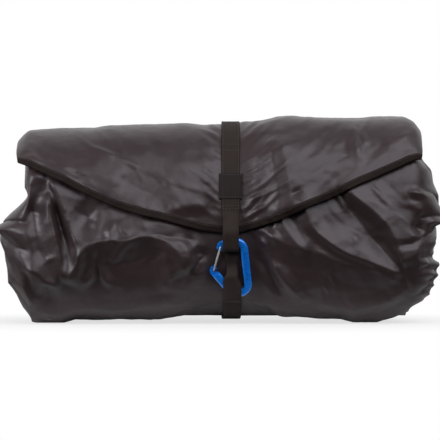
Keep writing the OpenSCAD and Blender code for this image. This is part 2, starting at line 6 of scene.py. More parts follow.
import bmesh
import bpy
import numpy as np
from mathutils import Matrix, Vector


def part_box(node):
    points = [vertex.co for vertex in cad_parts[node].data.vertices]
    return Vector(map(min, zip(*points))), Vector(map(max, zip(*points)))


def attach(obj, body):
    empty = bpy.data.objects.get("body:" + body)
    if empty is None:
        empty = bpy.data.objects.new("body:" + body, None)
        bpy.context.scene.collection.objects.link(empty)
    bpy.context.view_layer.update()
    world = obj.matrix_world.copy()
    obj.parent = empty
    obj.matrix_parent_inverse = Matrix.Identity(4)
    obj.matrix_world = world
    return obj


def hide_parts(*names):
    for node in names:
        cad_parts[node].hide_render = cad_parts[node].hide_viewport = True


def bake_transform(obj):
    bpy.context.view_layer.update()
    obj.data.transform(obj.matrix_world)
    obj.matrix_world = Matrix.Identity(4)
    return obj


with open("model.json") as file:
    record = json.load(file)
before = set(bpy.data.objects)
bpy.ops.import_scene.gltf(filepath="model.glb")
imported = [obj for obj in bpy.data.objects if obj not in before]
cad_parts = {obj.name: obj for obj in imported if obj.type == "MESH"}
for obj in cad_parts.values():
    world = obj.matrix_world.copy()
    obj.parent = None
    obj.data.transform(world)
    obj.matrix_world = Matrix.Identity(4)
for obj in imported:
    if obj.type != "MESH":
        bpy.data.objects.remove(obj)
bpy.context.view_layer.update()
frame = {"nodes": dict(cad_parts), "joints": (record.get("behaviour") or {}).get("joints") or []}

bl_info = {
    "name": "Packed Hammock",
    "version": (1, 0, 0),
    "blender": (4, 5, 0),
    "location": "View3D > Sidebar > Hammock",
    "description": "Cloth, webbing, stitching and stage for a hammock packed in its pouch",
    "category": "Add Mesh",
}

# Shapes are in millimetres, and the settings, the stage and what Blender gets are in metres
MM = 0.001
JOINTS = {joint["name"]: joint for joint in frame["joints"]}


def joint_place(name):
    """Place of a joint at rest, in millimetres."""
    return np.array(JOINTS[name]["pos_m"]) / MM


# Form of the roll, with the same measures as its solids
PACK_LENGTH = 480.0
PACK_HEIGHT = 226.0
HALF_DEPTH = 82.0
ROUNDNESS = 2.5
TOP_DROOP = 14.0
BASE_SQUASH = 3.0
END_BULGE = 35.0
SEAM_X = PACK_LENGTH / 2 - END_BULGE
END_HOLLOW = 5.0
STRAP_X = joint_place("tab_fold")[0]
CLIP_X = 13.2
CINCH_X = (STRAP_X + CLIP_X) / 2
CINCH = 7.0
CINCH_REACH = 44.0
PACK_Y = joint_place("spare_gate_press")[1]
HINGE_Z = 170.0
MOUTH_Z = 186.0
FLAP_TIP_Z = 99.0
FLAP_RISE = 81.0
FLAP_END_X = 225.0
FLAP_SIDES = (-220.0, 218.0)
# Height of the roll's middle, and its mean radius for lengths round it
MIDDLE_Z = 108.0
ROLL_R = 95.0
# Length of an end panel on its UV map, how far out an end may be, and how high the underside's line acts
END_RUN = 110.0
END_LIMIT = 239.0
BASE_REACH = 46.0

# Points along the pouch, down its front and its back and across its mouth at an end, and rings of an end
COLUMNS = 212
FRONT_ROWS = 122
BACK_ROWS = 36
MOUTH_ROWS = 26
END_RINGS = 28
# Points along the flap and down it
FLAP_COLUMNS = 220
FLAP_ROWS = 112

# Layers, counted outwards from the cloth of the pouch
STRAP_T = 1.5
STRAP_WIDTH = 20.0
TAB_WIDTH = 17.5
FLAP_MIDDLE = 2.45
STRAP_MIDDLE = 4.7
TAB_MIDDLE = 5.6
WRAP_STRAP = 1.2
# Width of the folded tapes, and reach of the back seam's tape above and below its seam
BINDING_WIDTH = 7.6
HEM_WIDTH = 12.0
SEAM_TAPE = (-8, 16)

# Webbing: step of its points, start of the back strap below the seam, and angle where it turns to the front
STRAP_STEP = 1.5
BACK_START = 17.0
UNDER_ANGLE = 168.0
# Half the spacing of its rows of stitches, and height of the thread over it
SEWN_HALF = 8.3
THREAD_LIFT = 0.05
# Heights of the rows of stitches across the flap's webbing and its label
STRAP_ROWS = (188.0, 182.5, 127.0, 124.0)
LABEL_ROWS = (158.4, 135.6)
# Rows of stitches on the tapes: distance from the flap's edge, the back seam and the mouth's edge
BINDING_ROW = 5.9
SEAM_ROWS = (2.2, 13.8)
HEM_ROW = 10.4
# Section of webbing: share of its half width, share of its edge's rounding, and side
WEBBING_SECTION = [(-1, 0, 0), (-1, 1, 1), (-0.5, 0, 1), (0, 0, 1), (0.5, 0, 1), (1, -1, 1),
                   (1, 0, 0), (1, -1, -1), (0.5, 0, -1), (0, 0, -1), (-0.5, 0, -1), (-1, 1, -1)]
# Label's sleeve: heights of its two ends, its size and the size of its bore
LABEL_TOP = 160.0
LABEL_FOOT = 134.0
LABEL_WIDTH = 25.0
LABEL_T = 2.4
LABEL_BORE_WIDTH = 23.6
LABEL_BORE_T = 1.7

# Carabiner's plane, through the bar that hangs in the loop
SWAY_AT = joint_place("carabiner_sway")
SWAY_AXIS = np.array(JOINTS["carabiner_sway"]["axis"])
LEAN_UP = np.array([SWAY_AXIS[2], -SWAY_AXIS[1]])
LEAN_OUT = SWAY_AXIS[1:]
LOOP_R = 4.25
LOOP_BASE = -6.659
BAR_TOP = 8.059
SPINE_HEIGHT = 61.5

# Tree straps and slings
COIL_TURNS = 9
COIL_PITCH = 2.2
COIL_HOLE = 18.0
SLING_D = 5.0
# Rolled bed: section of its outer turn, number of turns, distance between them and thickness of its layer
BED_DEPTH = 74.1
BED_LOW = 6.9
BED_HIGH = 209.7
BED_TURNS = 4.5
BED_PITCH = 10.2
BED_LAYER = 8.6

# Folds of the front: height, width on the left of the line, width on its right, then its points as (x, z)
FRONT_FOLDS = [
    # Lower edge of the cloth that hangs over at the left
    (10.0, 14, 13, [(-213, 57), (-206, 61), (-196, 58), (-188, 50), (-178, 46), (-166, 43)]),
    (12.0, 20, 15, [(-166, 43), (-158, 59), (-150, 76), (-142, 86), (-131, 90), (-118, 91), (-102, 92),
                    (-86, 95), (-72, 95), (-56, 90), (-45, 77), (-40, 64), (-36, 56), (-32, 55)]),
    (6.0, 12, 12, [(-38, 57), (-32, 55), (-21, 57), (-11, 58), (-3, 60)]),
    # Pleats at the left end
    (9.0, 4, 12, [(-184, 145), (-182, 122), (-178, 103), (-173, 77), (-166, 43)]),
    (8.0, 15, 4, [(-185, 159), (-175, 141), (-166, 117), (-157, 92), (-150, 78)]),
    (-7.0, 6, 6, [(-179, 132), (-172, 106), (-164, 84), (-163, 58)]),
    (-3.0, 9, 9, [(-199, 158), (-193, 146), (-190, 134)]),
    (-8.0, 20, 16, [(-212, 126), (-200, 121), (-184, 118)]),
    (5.0, 9, 18, [(-208, 160), (-196, 158), (-184, 155)]),
    (2.5, 4, 7, [(-203, 116), (-205, 98), (-201, 79), (-206, 64)]),
    (5.0, 5, 8, [(-213, 57), (-212, 42), (-203, 28), (-196, 16)]),
    (-5.0, 9, 9, [(-196, 42), (-184, 32), (-178, 22)]),
    # Bulge at the right end and the deep fold under it
    (9.5, 20, 7, [(131, 153), (140, 141), (159, 126), (178, 108), (189, 87), (201, 59)]),
    (-5.0, 6, 10, [(124, 152), (131, 137), (146, 117), (161, 97), (177, 78), (199, 55)]),
    (9.0, 15, 8, [(82, 150), (89, 128), (98, 108), (111, 94), (132, 80), (158, 70), (180, 62), (199, 53)]),
    (3.0, 9, 3, [(120, 148), (130, 133), (139, 119)]),
    (5.5, 15, 13, [(48, 103), (64, 91), (86, 82), (106, 79), (120, 71), (148, 63), (172, 60), (198, 53)]),
    (-8.0, 18, 6, [(205, 110), (215, 104), (227, 100)]),
    (4.0, 4, 5, [(200, 143), (214, 142), (226, 137)]),
    (-3.0, 4, 4, [(186, 87), (207, 88), (222, 96)]),
]
# Smaller folds, which lie on the others
FRONT_CREASES = [
    # Curled creases under that edge
    (4.5, 5, 5, [(-138, 90), (-133, 74), (-138, 55), (-149, 41)]),
    (4.5, 6, 4, [(-127, 84), (-130, 66), (-123, 49), (-111, 41)]),
    (-3.5, 4, 4, [(-131, 84), (-133, 66), (-130, 50)]),
    (4.0, 5, 6, [(-86, 95), (-102, 87), (-113, 71), (-110, 62)]),
    (3.2, 9, 7, [(-70, 80), (-60, 56), (-56, 30)]),
    # Small tents of cloth between that edge and the flap
    (3.0, 4, 6, [(-112, 116), (-115, 103), (-119, 88)]),
    (3.0, 6, 4, [(-113, 116), (-105, 104), (-92, 94)]),
    (2.5, 6, 7, [(-130, 130), (-137, 100)]),
    (2.5, 7, 6, [(-88, 122), (-76, 98)]),
    (3.2, 6, 5, [(-52, 98), (-38, 84), (-36, 62)]),
    (-4.5, 6, 6, [(-34, 79), (-20, 77), (-6, 77)]),
    # Hollows under the flap's edge
    (-4.4, 8, 8, [(-80, 98), (-60, 96), (-40, 93), (-22, 90)]),
    (-4.5, 14, 16, [(-159, 127), (-148, 119), (-126, 108)]),
    # Pleats that hang from the flap at the right of the webbing
    (2.5, 6, 7, [(35, 126), (45, 110), (54, 97), (70, 85)]),
    (4.0, 7, 7, [(55, 134), (66, 114), (78, 94), (96, 76)]),
    (2.0, 7, 7, [(70, 138), (80, 118), (90, 100), (98, 78)]),
    # Slanting folds beside the carabiner
    (-5.0, 5, 5, [(38, 79), (52, 56), (68, 27)]),
    (5.0, 7, 6, [(54, 71), (74, 44), (97, 15)]),
    (-3.0, 5, 5, [(80, 34), (98, 14)]),
    (1.8, 1.8, 1.8, [(108, 50), (113, 41), (116, 33)]),
    (1.8, 1.8, 1.8, [(118, 55), (123, 44)]),
    # Cloth that lies on the ground
    (3.5, 7, 8, [(-198, 16), (-176, 13), (-140, 18), (-110, 15), (-75, 20), (-45, 26)]),
    (3.5, 8, 7, [(100, 22), (140, 18), (180, 26), (202, 38)]),
    (3.5, 7, 6, [(30, 24), (52, 18), (72, 12)]),
]
# Folds of the flap, written the same way
FLAP_FOLDS = [
    (4.0, 20, 8, [(-60, 121), (-44, 125), (-27, 128), (-6, 127)]),
    (3.5, 4, 8, [(143, 216), (147, 194), (150, 172)]),
    (2.5, 4, 4, [(152, 208), (157, 190)]),
    (-2.4, 3, 3, [(76, 139), (88, 145)]),
    (5.2, 18, 32, [(67, 114), (63, 140), (58, 170), (52, 200)]),
    (5.2, 14, 32, [(79, 116), (75, 140), (70, 170), (64, 200)]),
    (3.0, 9, 9, [(175, 186), (190, 198), (208, 208)]),
    (1.4, 12, 12, [(-140, 182), (-122, 162), (-104, 146)]),
    (-2.5, 24, 10, [(-112, 160), (-84, 146), (-62, 134)]),
    (2.4, 10, 12, [(-176, 172), (-168, 160), (-160, 152)]),
    (3.0, 8, 30, [(-15, 184), (-15, 158), (-14, 126)]),
    (2.4, 10, 9, [(-100, 131), (-82, 127), (-62, 123)]),
    (2.6, 5, 6, [(-214, 184), (-204, 178), (-186, 172)]),
    (2.0, 4, 4, [(-205, 186), (-199, 178), (-202, 172)]),
    (4.0, 4, 4, [(24, 112), (36, 122), (54, 129)]),
    (4.0, 4, 4, [(24, 119), (34, 132), (46, 144)]),
    (-3.0, 3, 3, [(24, 116), (40, 129)]),
]
# Foot of a fold's slope, in widths from its line, and how hollow the slope is
FOLD_SPREAD = 1.6
FOLD_SHARPNESS = 1.15
# Longest fade at the two ends of a fold
FOLD_FADE = 14.0
# Outline of the two ends: height, and how far the end stands out from its seam
LEFT_OUTLINE = [(0, 0), (3, 1), (16, 11), (33, 18), (44, 26), (66, 27), (85, 30), (103, 34), (112, 27),
                (121, 19), (135, 6), (139, 3), (148, 7), (162, 7), (226, 8)]
RIGHT_OUTLINE = [(0, 0), (7, 3), (14, 13), (21, 21), (33, 26), (52, 31), (66, 32), (72, 25), (88, 28),
                 (106, 26), (110, 33), (140, 31), (151, 27), (168, 25), (184, 15), (195, 15), (226, 8)]
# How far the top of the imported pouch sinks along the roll
TOP_LINE = [(-226, 16), (-220, 10), (-209, 5), (-173, 4.6), (-137, 5), (-121, 2.6), (-50, 2.8), (-8, -1.5),
            (12, -3), (25, -4.5), (53, -3.6), (88, -1), (122, 1.7), (152, 2.6), (176, 1.6), (201, 2.3),
            (212, 7), (219, 13)]
# How far the flap's lower edge lies above an even curve
EDGE_LINE = [(-215, -3), (-190, -2), (-165, -1), (-135, -3), (-110, -3.5), (-85, -1.5), (-65, 0), (18, 0),
             (30, 1.5), (54, 4.5), (75, 6), (100, 8), (122, 8.5), (150, 8), (175, 6.5), (200, 5.2), (215, 4)]
# Height of the underside along the roll
BASE_LINE = [(-240, 6), (-212, 3), (-198, 0), (-172, 0), (-158, 4), (-66, 4), (-40, 8), (-13, 8), (13, 6),
             (26, 11), (53, 11), (66, 7), (132, 5), (145, 1), (172, 1), (190, 6), (205, 12), (240, 14)]


# Arithmetic on arrays of points

def smooth(low, high, value):
    """Eased step from 0 at low to 1 at high."""
    t = np.clip((np.asarray(value, float) - low) / (high - low), 0.0, 1.0)
    return t * t * (3.0 - 2.0 * t)


def along(table, value):
    """Reads a table of (place, amount) at each value, with straight lines between its rows."""
    places, amounts = zip(*table)
    return np.interp(value, places, amounts)


def run_along(path):
    """Distance from a path's start to each of its points."""
    return np.concatenate([[0], np.cumsum(np.linalg.norm(np.diff(path, axis=0), axis=1))])


def crumple(points, size, seed):
    """Smooth noise from about -1 to 1, with lumps of about the given size."""
    rng = np.random.default_rng(seed)
    table = rng.permutation(256)
    slopes = rng.normal(size=(256, 3))
    slopes /= np.linalg.norm(slopes, axis=1)[:, None]
    p = np.asarray(points, float) / size
    cell = np.floor(p).astype(int)
    f = p - cell
    w = f * f * f * (f * (f * 6.0 - 15.0) + 10.0)
    total = np.zeros(len(p))
    for corner in itertools.product((0, 1), repeat=3):
        c = (cell + corner) & 255
        h = table[(table[(table[c[:, 0]] + c[:, 1]) & 255] + c[:, 2]) & 255]
        share = np.prod(np.where(np.array(corner) == 1, w, 1.0 - w), axis=1)
        total += share * np.sum(slopes[h] * (f - corner), axis=1)
    return 1.6 * total


def drawn(points, step=3.0):
    """Smooth curve through a few points, as closely spaced points."""
    p = np.array(points, float)
    if len(p) == 2:
        count = max(2, int(np.linalg.norm(p[1] - p[0]) / step))
        return p[0] + (p[1] - p[0]) * np.linspace(0, 1, count + 1)[:, None]
    q = np.vstack([2 * p[0] - p[1], p, 2 * p[-1] - p[-2]])
    out = []
    for i in range(1, len(q) - 2):
        count = max(2, int(np.linalg.norm(q[i + 1] - q[i]) / step))
        t = np.linspace(0, 1, count, endpoint=False)[:, None]
        out.append(0.5 * (2 * q[i] + (q[i + 1] - q[i - 1]) * t
                          + (2 * q[i - 1] - 5 * q[i] + 4 * q[i + 1] - q[i + 2]) * t ** 2
                          + (3 * q[i] - q[i - 1] - 3 * q[i + 1] + q[i + 2]) * t ** 3))
    out.append(q[-2][None])
    return np.vstack(out)


def fold_height(x, z, fold):
    """Height of one fold at points of the front: two slopes that meet in its line."""
    height, left, right, points = fold
    line = drawn(points)
    steps = np.linalg.norm(np.diff(line, axis=0), axis=1)
    done = np.concatenate([[0], np.cumsum(steps)])
    reach = FOLD_SPREAD * max(left, right)
    near = ((x > line[:, 0].min() - reach) & (x < line[:, 0].max() + reach)
            & (z > line[:, 1].min() - reach) & (z < line[:, 1].max() + reach))
    out = np.zeros_like(x)
    px, pz = x[near], z[near]
    best = np.full(px.shape, 1e9)
    side = np.zeros(px.shape)
    where = np.zeros(px.shape)
    for i in range(len(line) - 1):
        d = line[i + 1] - line[i]
        t = np.clip(((px - line[i, 0]) * d[0] + (pz - line[i, 1]) * d[1]) / (d @ d), 0, 1)
        gx = px - line[i, 0] - d[0] * t
        gz = pz - line[i, 1] - d[1] * t
        gap = np.hypot(gx, gz)
        closer = gap < best
        best = np.where(closer, gap, best)
        side = np.where(closer, d[0] * gz - d[1] * gx, side)
        where = np.where(closer, done[i] + t * steps[i], where)
    width = np.where(side > 0, left, right)
    fade = min(0.4 * done[-1], FOLD_FADE)
    ends = smooth(0, fade, where) * smooth(0, fade, done[-1] - where) * 0.85 + 0.15
    out[near] = height * ends * np.clip(1 - best / (FOLD_SPREAD * width), 0, 1) ** FOLD_SHARPNESS
    return out


def joined(x, z, folds):
    """Height of several folds together: where two meet, the higher one mostly holds."""
    up, down = np.zeros_like(x), np.zeros_like(x)
    for fold in folds:
        h = fold_height(x, z, fold)
        up += np.maximum(h, 0) ** 3
        down += np.maximum(-h, 0) ** 3
    return np.cbrt(up) - np.cbrt(down)


def stray_folds(seed, count, x_range, z_range, slant, spread, length, height):
    """Small straight folds at random places, at about one slant in degrees."""
    rng = np.random.default_rng(seed)
    out = []
    for _ in range(count):
        x, z = rng.uniform(*x_range), rng.uniform(*z_range)
        a = math.radians(slant + rng.uniform(-spread, spread))
        half = rng.uniform(*length) / 2
        wide = rng.uniform(2.0, 4.5)
        h = rng.uniform(*height) * rng.choice((-1, 1))
        bend = rng.uniform(-0.12, 0.12) * half
        dx, dz = half * math.cos(a), half * math.sin(a)
        middle = (x - bend * math.sin(a), z + bend * math.cos(a))
        out.append((h, wide, wide * rng.uniform(0.6, 1.6), [(x - dx, z - dz), middle, (x + dx, z + dz)]))
    return out


# Surface of the roll

END_TURN = 180.0 - math.degrees(math.asin(1 - END_HOLLOW / END_BULGE))


def cinch_share(x):
    """How much the closing strap draws the roll in, from 0 to 1."""
    return np.exp(-(np.abs(x - CINCH_X) / CINCH_REACH) ** 4)


def top_z(x):
    share = cinch_share(x)
    return PACK_HEIGHT - TOP_DROOP * (0.5 - x * (1 - share) / PACK_LENGTH) - CINCH * share


def bottom_z(x):
    return -BASE_SQUASH + 1.2 * CINCH * cinch_share(x)


def mid_z(x):
    return (top_z(x) + bottom_z(x)) / 2


def end_scale(x):
    """Share of the full section that is left past the end seam."""
    over = np.clip((np.abs(x) - SEAM_X) / END_BULGE, 0, 1)
    return np.cos(np.radians(90 * np.degrees(np.arcsin(over)) / END_TURN))


def half_height(x):
    return end_scale(x) * (top_z(x) - bottom_z(x)) / 2


def half_depth(x):
    return end_scale(x) * (HALF_DEPTH - 0.8 * CINCH * cinch_share(x))


def section_r(depth, height, a):
    """Radius of a rounded section at an angle from its top, in degrees, towards the front."""
    s = np.abs(np.sin(np.radians(a)))
    c = np.abs(np.cos(np.radians(a)))
    return ((s / depth) ** ROUNDNESS + (c / height) ** ROUNDNESS) ** (-1 / ROUNDNESS)


def degrees_per_mm(x, a):
    """Turn round the roll for a millimetre along its section."""
    return np.degrees(1 / section_r(half_depth(x), half_height(x), a))


def angle_at(x, z):
    """Angle at which the front of the roll has a height."""
    w = np.clip((z - mid_z(x)) / half_height(x), -0.98, 0.98)
    y = half_depth(x) * (1 - np.abs(w) ** ROUNDNESS) ** (1 / ROUNDNESS)
    return np.degrees(np.arctan2(y, w * half_height(x)))


def skin(x, a, d):
    """Point of the roll's surface, raised by d."""
    x = np.asarray(x, float)
    a = np.asarray(a, float)
    x, a, d = np.broadcast_arrays(x, a, np.asarray(d, float))
    r = section_r(half_depth(x), half_height(x), a) + d
    y = PACK_Y - r * np.sin(np.radians(a))
    z = mid_z(x) + r * np.cos(np.radians(a))
    return np.stack([x, y, np.maximum(z, np.maximum(-d, 0))], axis=-1)


def back_angle(x):
    """Angle of the seam at the back, where the flap starts."""
    return -angle_at(x, HINGE_Z)


def mouth_angle(x):
    """Angle of the mouth's edge at the front, under the flap."""
    return angle_at(x, MOUTH_Z)


def edge_z(x):
    """Height of the flap's lower edge along the front."""
    reach = FLAP_END_X + np.where(x < STRAP_X, STRAP_X, -STRAP_X)
    t = np.clip(np.abs(x - STRAP_X) / reach, 0, 1)
    return FLAP_TIP_Z + FLAP_RISE * t ** 1.5 + along(EDGE_LINE, x)


def edge_angle(x):
    return angle_at(x, edge_z(x))


def strap_rest(x, z):
    """1 by the webbing and the carabiner, where the cloth is held flat, and 0 away from them."""
    strap = 1 - smooth(11, 26, np.abs(x - CINCH_X))
    clip = (1 - smooth(20, 40, np.abs(x - CINCH_X))) * smooth(24, 36, z) * (1 - smooth(92, 104, z))
    return np.maximum(strap, 0.85 * clip)


def front_relief(points, facing):
    """Folds of the pouch's front, below the flap's edge."""
    x, z = points[:, 0], points[:, 2]
    total = joined(x, z, FRONT_FOLDS) + joined(x, z, FRONT_CREASES)
    strays = (stray_folds(51, 34, (-200, -10), (18, 150), 65, 40, (14, 46), (0.6, 1.6))
              + stray_folds(52, 34, (35, 215), (18, 150), 125, 40, (14, 46), (0.6, 1.6)))
    total += sum(fold_height(x, z, fold) for fold in strays)
    total = total * smooth(0.1, 0.5, facing) * smooth(-26, 2, edge_z(x) - z)
    return total * (1 - strap_rest(x, z))


def small_relief(points, seed, share):
    """Small crumples that lie over the whole cloth."""
    stretch = points * np.array([1.0, 0.8, 1.25])
    soft = crumple(stretch, 46, seed)
    ridge = 1 - 2 * np.abs(crumple(stretch + 9 * soft[:, None], 30, seed + 1))
    fine = 1 - 2 * np.abs(crumple(points, 13, seed + 2))
    return share * (1.3 * soft + 0.7 * ridge + 0.3 * fine)


def sunk(points):
    """Points of the top of the roll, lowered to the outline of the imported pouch."""
    out = np.array(points, float)
    out[..., 2] -= along(TOP_LINE, out[..., 0]) * smooth(160, 212, out[..., 2])
    return out


def sunk_skin(x, a, d):
    """Point of the roll under the lowered top."""
    return sunk(skin(x, a, d))


# Meshes

def vertex_normals(points, faces):
    """Outward directions at the points of a mesh of four-sided faces."""
    p = points[faces]
    n = np.cross(p[:, 2] - p[:, 0], p[:, 3] - p[:, 1])
    out = np.zeros_like(points)
    for k in range(4):
        np.add.at(out, faces[:, k], n)
    return out / np.maximum(np.linalg.norm(out, axis=1), 1e-9)[:, None]


def grid_faces(rows, columns):
    """Faces of a grid of points that is kept row after row."""
    i, j = np.meshgrid(np.arange(rows - 1), np.arange(columns - 1), indexing="ij")
    a = (i * columns + j).ravel()
    return np.stack([a, a + 1, a + columns + 1, a + columns], axis=1)


def ring_faces(rings, sides, closed=False):
    """Faces between rings of points. A closed row of rings joins its two ends."""
    return [(i * sides + j, i * sides + (j + 1) % sides,
             (i + 1) % rings * sides + (j + 1) % sides, (i + 1) % rings * sides + j)
            for i in range(rings if closed else rings - 1) for j in range(sides)]


def linked(name, data):
    """New object in the scene."""
    made = bpy.data.objects.new(name, data)
    bpy.context.scene.collection.objects.link(made)
    return made


def make_piece(name, points, faces, look, uv, closed=False):
    """Mesh object at the origin, from points in millimetres."""
    mesh = bpy.data.meshes.new(name)
    mesh.from_pydata((np.asarray(points) * MM).tolist(), [], [list(map(int, f)) for f in faces])
    layer = mesh.uv_layers.new(name="UVMap")
    order = np.zeros(len(mesh.loops), int)
    mesh.loops.foreach_get("vertex_index", order)
    layer.data.foreach_set("uv", (np.asarray(uv)[order] * MM).astype(np.float32).ravel())
    if closed:
        work = bmesh.new()
        work.from_mesh(mesh)
        bmesh.ops.recalc_face_normals(work, faces=work.faces)
        work.to_mesh(mesh)
        work.free()
    mesh.shade_smooth()
    mesh.materials.append(look)
    return linked(name, mesh)


def settle(piece, body, slot, *nodes):
    """Fixes a finished piece to its body and hides the solids that it stands for."""
    if body:
        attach(piece, body)
    if nodes:
        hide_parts(*nodes)
    return piece


def thicken(piece, thickness, offset):
    """Gives a sheet its thickness and keeps it as a plain mesh."""
    solid = piece.modifiers.new("Thickness", "SOLIDIFY")
    solid.thickness = thickness * MM
    solid.offset = offset
    bake(piece)


def bake(piece):
    """Replaces a piece's mesh by what its modifiers make of it."""
    bpy.context.view_layer.update()
    shown = piece.evaluated_get(bpy.context.evaluated_depsgraph_get())
    mesh = bpy.data.meshes.new_from_object(shown)
    mesh.name = piece.name
    piece.modifiers.clear()
    piece.data = mesh


def resampled(path, step):
    """Points at even steps along a path."""
    done = run_along(path)
    count = max(2, int(round(done[-1] / step)))
    at = np.linspace(0, done[-1], count + 1)
    return np.stack([np.interp(at, done, path[:, k]) for k in range(path.shape[1])], axis=1)


def eased(path, rounds):
    """Path with its corners rounded and its two ends kept."""
    p = path.copy()
    for _ in range(rounds):
        p[1:-1] = 0.25 * p[:-2] + 0.5 * p[1:-1] + 0.25 * p[2:]
    return p


def ribbon(path, width, thickness, outward):
    """Points, faces and UV of webbing along a path, with its width along X. outward shows its outer side."""
    n = len(path)
    t = np.gradient(path, axis=0)
    t /= np.linalg.norm(t, axis=1)[:, None]
    normal = np.cross(t, np.array([1.0, 0.0, 0.0]))
    normal /= np.linalg.norm(normal, axis=1)[:, None]
    if np.sum(normal * outward) < 0:
        normal = -normal
    width = np.broadcast_to(np.asarray(width, float), (n,))
    h = thickness / 2
    rounding = min(0.6, h)
    length = run_along(path)
    rings, uv = [], []
    for share, inset, side in WEBBING_SECTION:
        across = share * width / 2 + inset * rounding
        rings.append(path + np.stack([across, 0 * across, 0 * across], axis=1) + normal * (side * h))
        uv.append(np.stack([across, length], axis=1))
    k = len(WEBBING_SECTION)
    points = np.stack(rings, axis=1).reshape(-1, 3)
    ends = [tuple(range(k)), tuple(range((n - 1) * k, n * k))]
    return points, ring_faces(n, k) + ends, np.stack(uv, axis=1).reshape(-1, 2)


def tube(path, radius, sides=10):
    """Points, faces and UV of a closed loop of round cord that lies in a plane across Y."""
    n = len(path)
    t = np.roll(path, -1, axis=0) - np.roll(path, 1, axis=0)
    t /= np.linalg.norm(t, axis=1)[:, None]
    across = np.array([0.0, 1.0, 0.0])
    out = np.cross(t, across)
    a = np.linspace(0, 2 * math.pi, sides, endpoint=False)
    ring = np.cos(a)[None, :, None] * out[:, None] + np.sin(a)[None, :, None] * across
    points = (path[:, None] + radius * ring).reshape(-1, 3)
    step = np.linalg.norm(path[1] - path[0])
    uv = np.stack([np.tile(a * radius, n), np.repeat(np.arange(n) * step, sides)], axis=1)
    return points, ring_faces(n, sides, closed=True), uv


# Stitches

def stitch_tree():
    """Geometry nodes that sew a row of stitches along each line of a mesh."""
    tree = bpy.data.node_groups.new("Stitch rows", "GeometryNodeTree")
    tree.interface.new_socket("Geometry", in_out="INPUT", socket_type="NodeSocketGeometry")
    for name, value in (("Pitch", 0.0028), ("Stitch length", 0.0021), ("Thickness", 0.0006)):
        socket = tree.interface.new_socket(name, in_out="INPUT", socket_type="NodeSocketFloat")
        socket.subtype = "DISTANCE"
        socket.default_value = value
    tree.interface.new_socket("Thread", in_out="INPUT", socket_type="NodeSocketMaterial")
    tree.interface.new_socket("Geometry", in_out="OUTPUT", socket_type="NodeSocketGeometry")
    start = tree.nodes.new("NodeGroupInput")
    line = add_node(tree, "GeometryNodeMeshToCurve", Mesh=start.outputs["Geometry"])
    even = add_node(tree, "GeometryNodeResampleCurve", mode="LENGTH", Curve=line.outputs[0],
                    Length=start.outputs["Pitch"])
    way = add_node(tree, "GeometryNodeInputTangent")
    turn = add_node(tree, "FunctionNodeAlignRotationToVector", axis="Z", Vector=way.outputs[0])
    bead = add_node(tree, "GeometryNodeMeshUVSphere", Segments=6, Rings=4, Radius=0.5)
    size = add_node(tree, "ShaderNodeCombineXYZ", X=start.outputs["Thickness"],
                    Y=start.outputs["Thickness"], Z=start.outputs["Stitch length"])
    sewn = add_node(tree, "GeometryNodeInstanceOnPoints", Points=even.outputs[0],
                    Instance=bead.outputs["Mesh"], Rotation=turn.outputs[0], Scale=size.outputs[0])
    real = add_node(tree, "GeometryNodeRealizeInstances", Geometry=sewn.outputs[0])
    soft = add_node(tree, "GeometryNodeSetShadeSmooth", Geometry=real.outputs[0])
    dyed = add_node(tree, "GeometryNodeSetMaterial", Geometry=soft.outputs[0],
                    Material=start.outputs["Thread"])
    end = tree.nodes.new("NodeGroupOutput")
    tree.links.new(dyed.outputs[0], end.inputs[0])
    return tree


def sew(name, lines, tree, thread, pitch):
    """Piece with a row of stitches along each line, from points in millimetres."""
    points, edges = [], []
    for line in lines:
        first = len(points)
        points += (np.asarray(line) * MM).tolist()
        edges += [(first + i, first + i + 1) for i in range(len(line) - 1)]
    mesh = bpy.data.meshes.new(name)
    mesh.from_pydata(points, edges, [])
    piece = linked(name, mesh)
    rows = piece.modifiers.new("Stitch rows", "NODES")
    rows.node_group = tree
    inputs = (item for item in tree.interface.items_tree if item.in_out == "INPUT")
    names = {item.name: item.identifier for item in inputs}
    rows[names["Pitch"]] = pitch
    rows[names["Stitch length"]] = 0.76 * pitch
    rows[names["Thread"]] = thread
    bake(piece)
    return piece


# Finishes

def add_node(tree, kind, **values):
    """Node whose settings and inputs take plain values or other nodes' outputs."""
    made = tree.nodes.new(kind)
    for key, value in values.items():
        linkable = isinstance(value, bpy.types.NodeSocket)
        if hasattr(made, key) and not linkable:
            setattr(made, key, value)
            continue
        by_place = key.startswith("in") and key[2:].isdigit()
        socket = made.inputs[int(key[2:]) if by_place else key.replace("_", " ")]
        if linkable:
            tree.links.new(value, socket)
        else:
            socket.default_value = value
    return made


def remap(tree, value, low, high, out_low, out_high):
    """Value taken from one range to another."""
    return add_node(tree, "ShaderNodeMapRange", Value=value, in1=low, in2=high, in3=out_low,
                    in4=out_high).outputs[0]


def new_look(name):
    """Empty material, with its tree, its Principled shader and Object coordinates."""
    look = bpy.data.materials.new(name)
    look.use_nodes = True
    tree = look.node_tree
    place = add_node(tree, "ShaderNodeTexCoord").outputs["Object"]
    return look, tree, tree.nodes["Principled BSDF"], place


def set_inputs(shader, **values):
    """Plain values of a shader's own sockets."""
    for key, value in values.items():
        shader.inputs[key.replace("_", " ")].default_value = value


def mottled(tree, colour, spread, size, vector):
    """Colour that wanders a little lighter and darker over lumps of the given size."""
    grain = add_node(tree, "ShaderNodeTexNoise", Vector=vector, Scale=1 / (size * MM), Detail=3.0)
    level = remap(tree, grain.outputs["Fac"], 0.3, 0.7, 1 - spread, 1 + spread)
    tint = add_node(tree, "ShaderNodeVectorMath", operation="SCALE", in0=colour[:3], Scale=level)
    return tint.outputs[0]


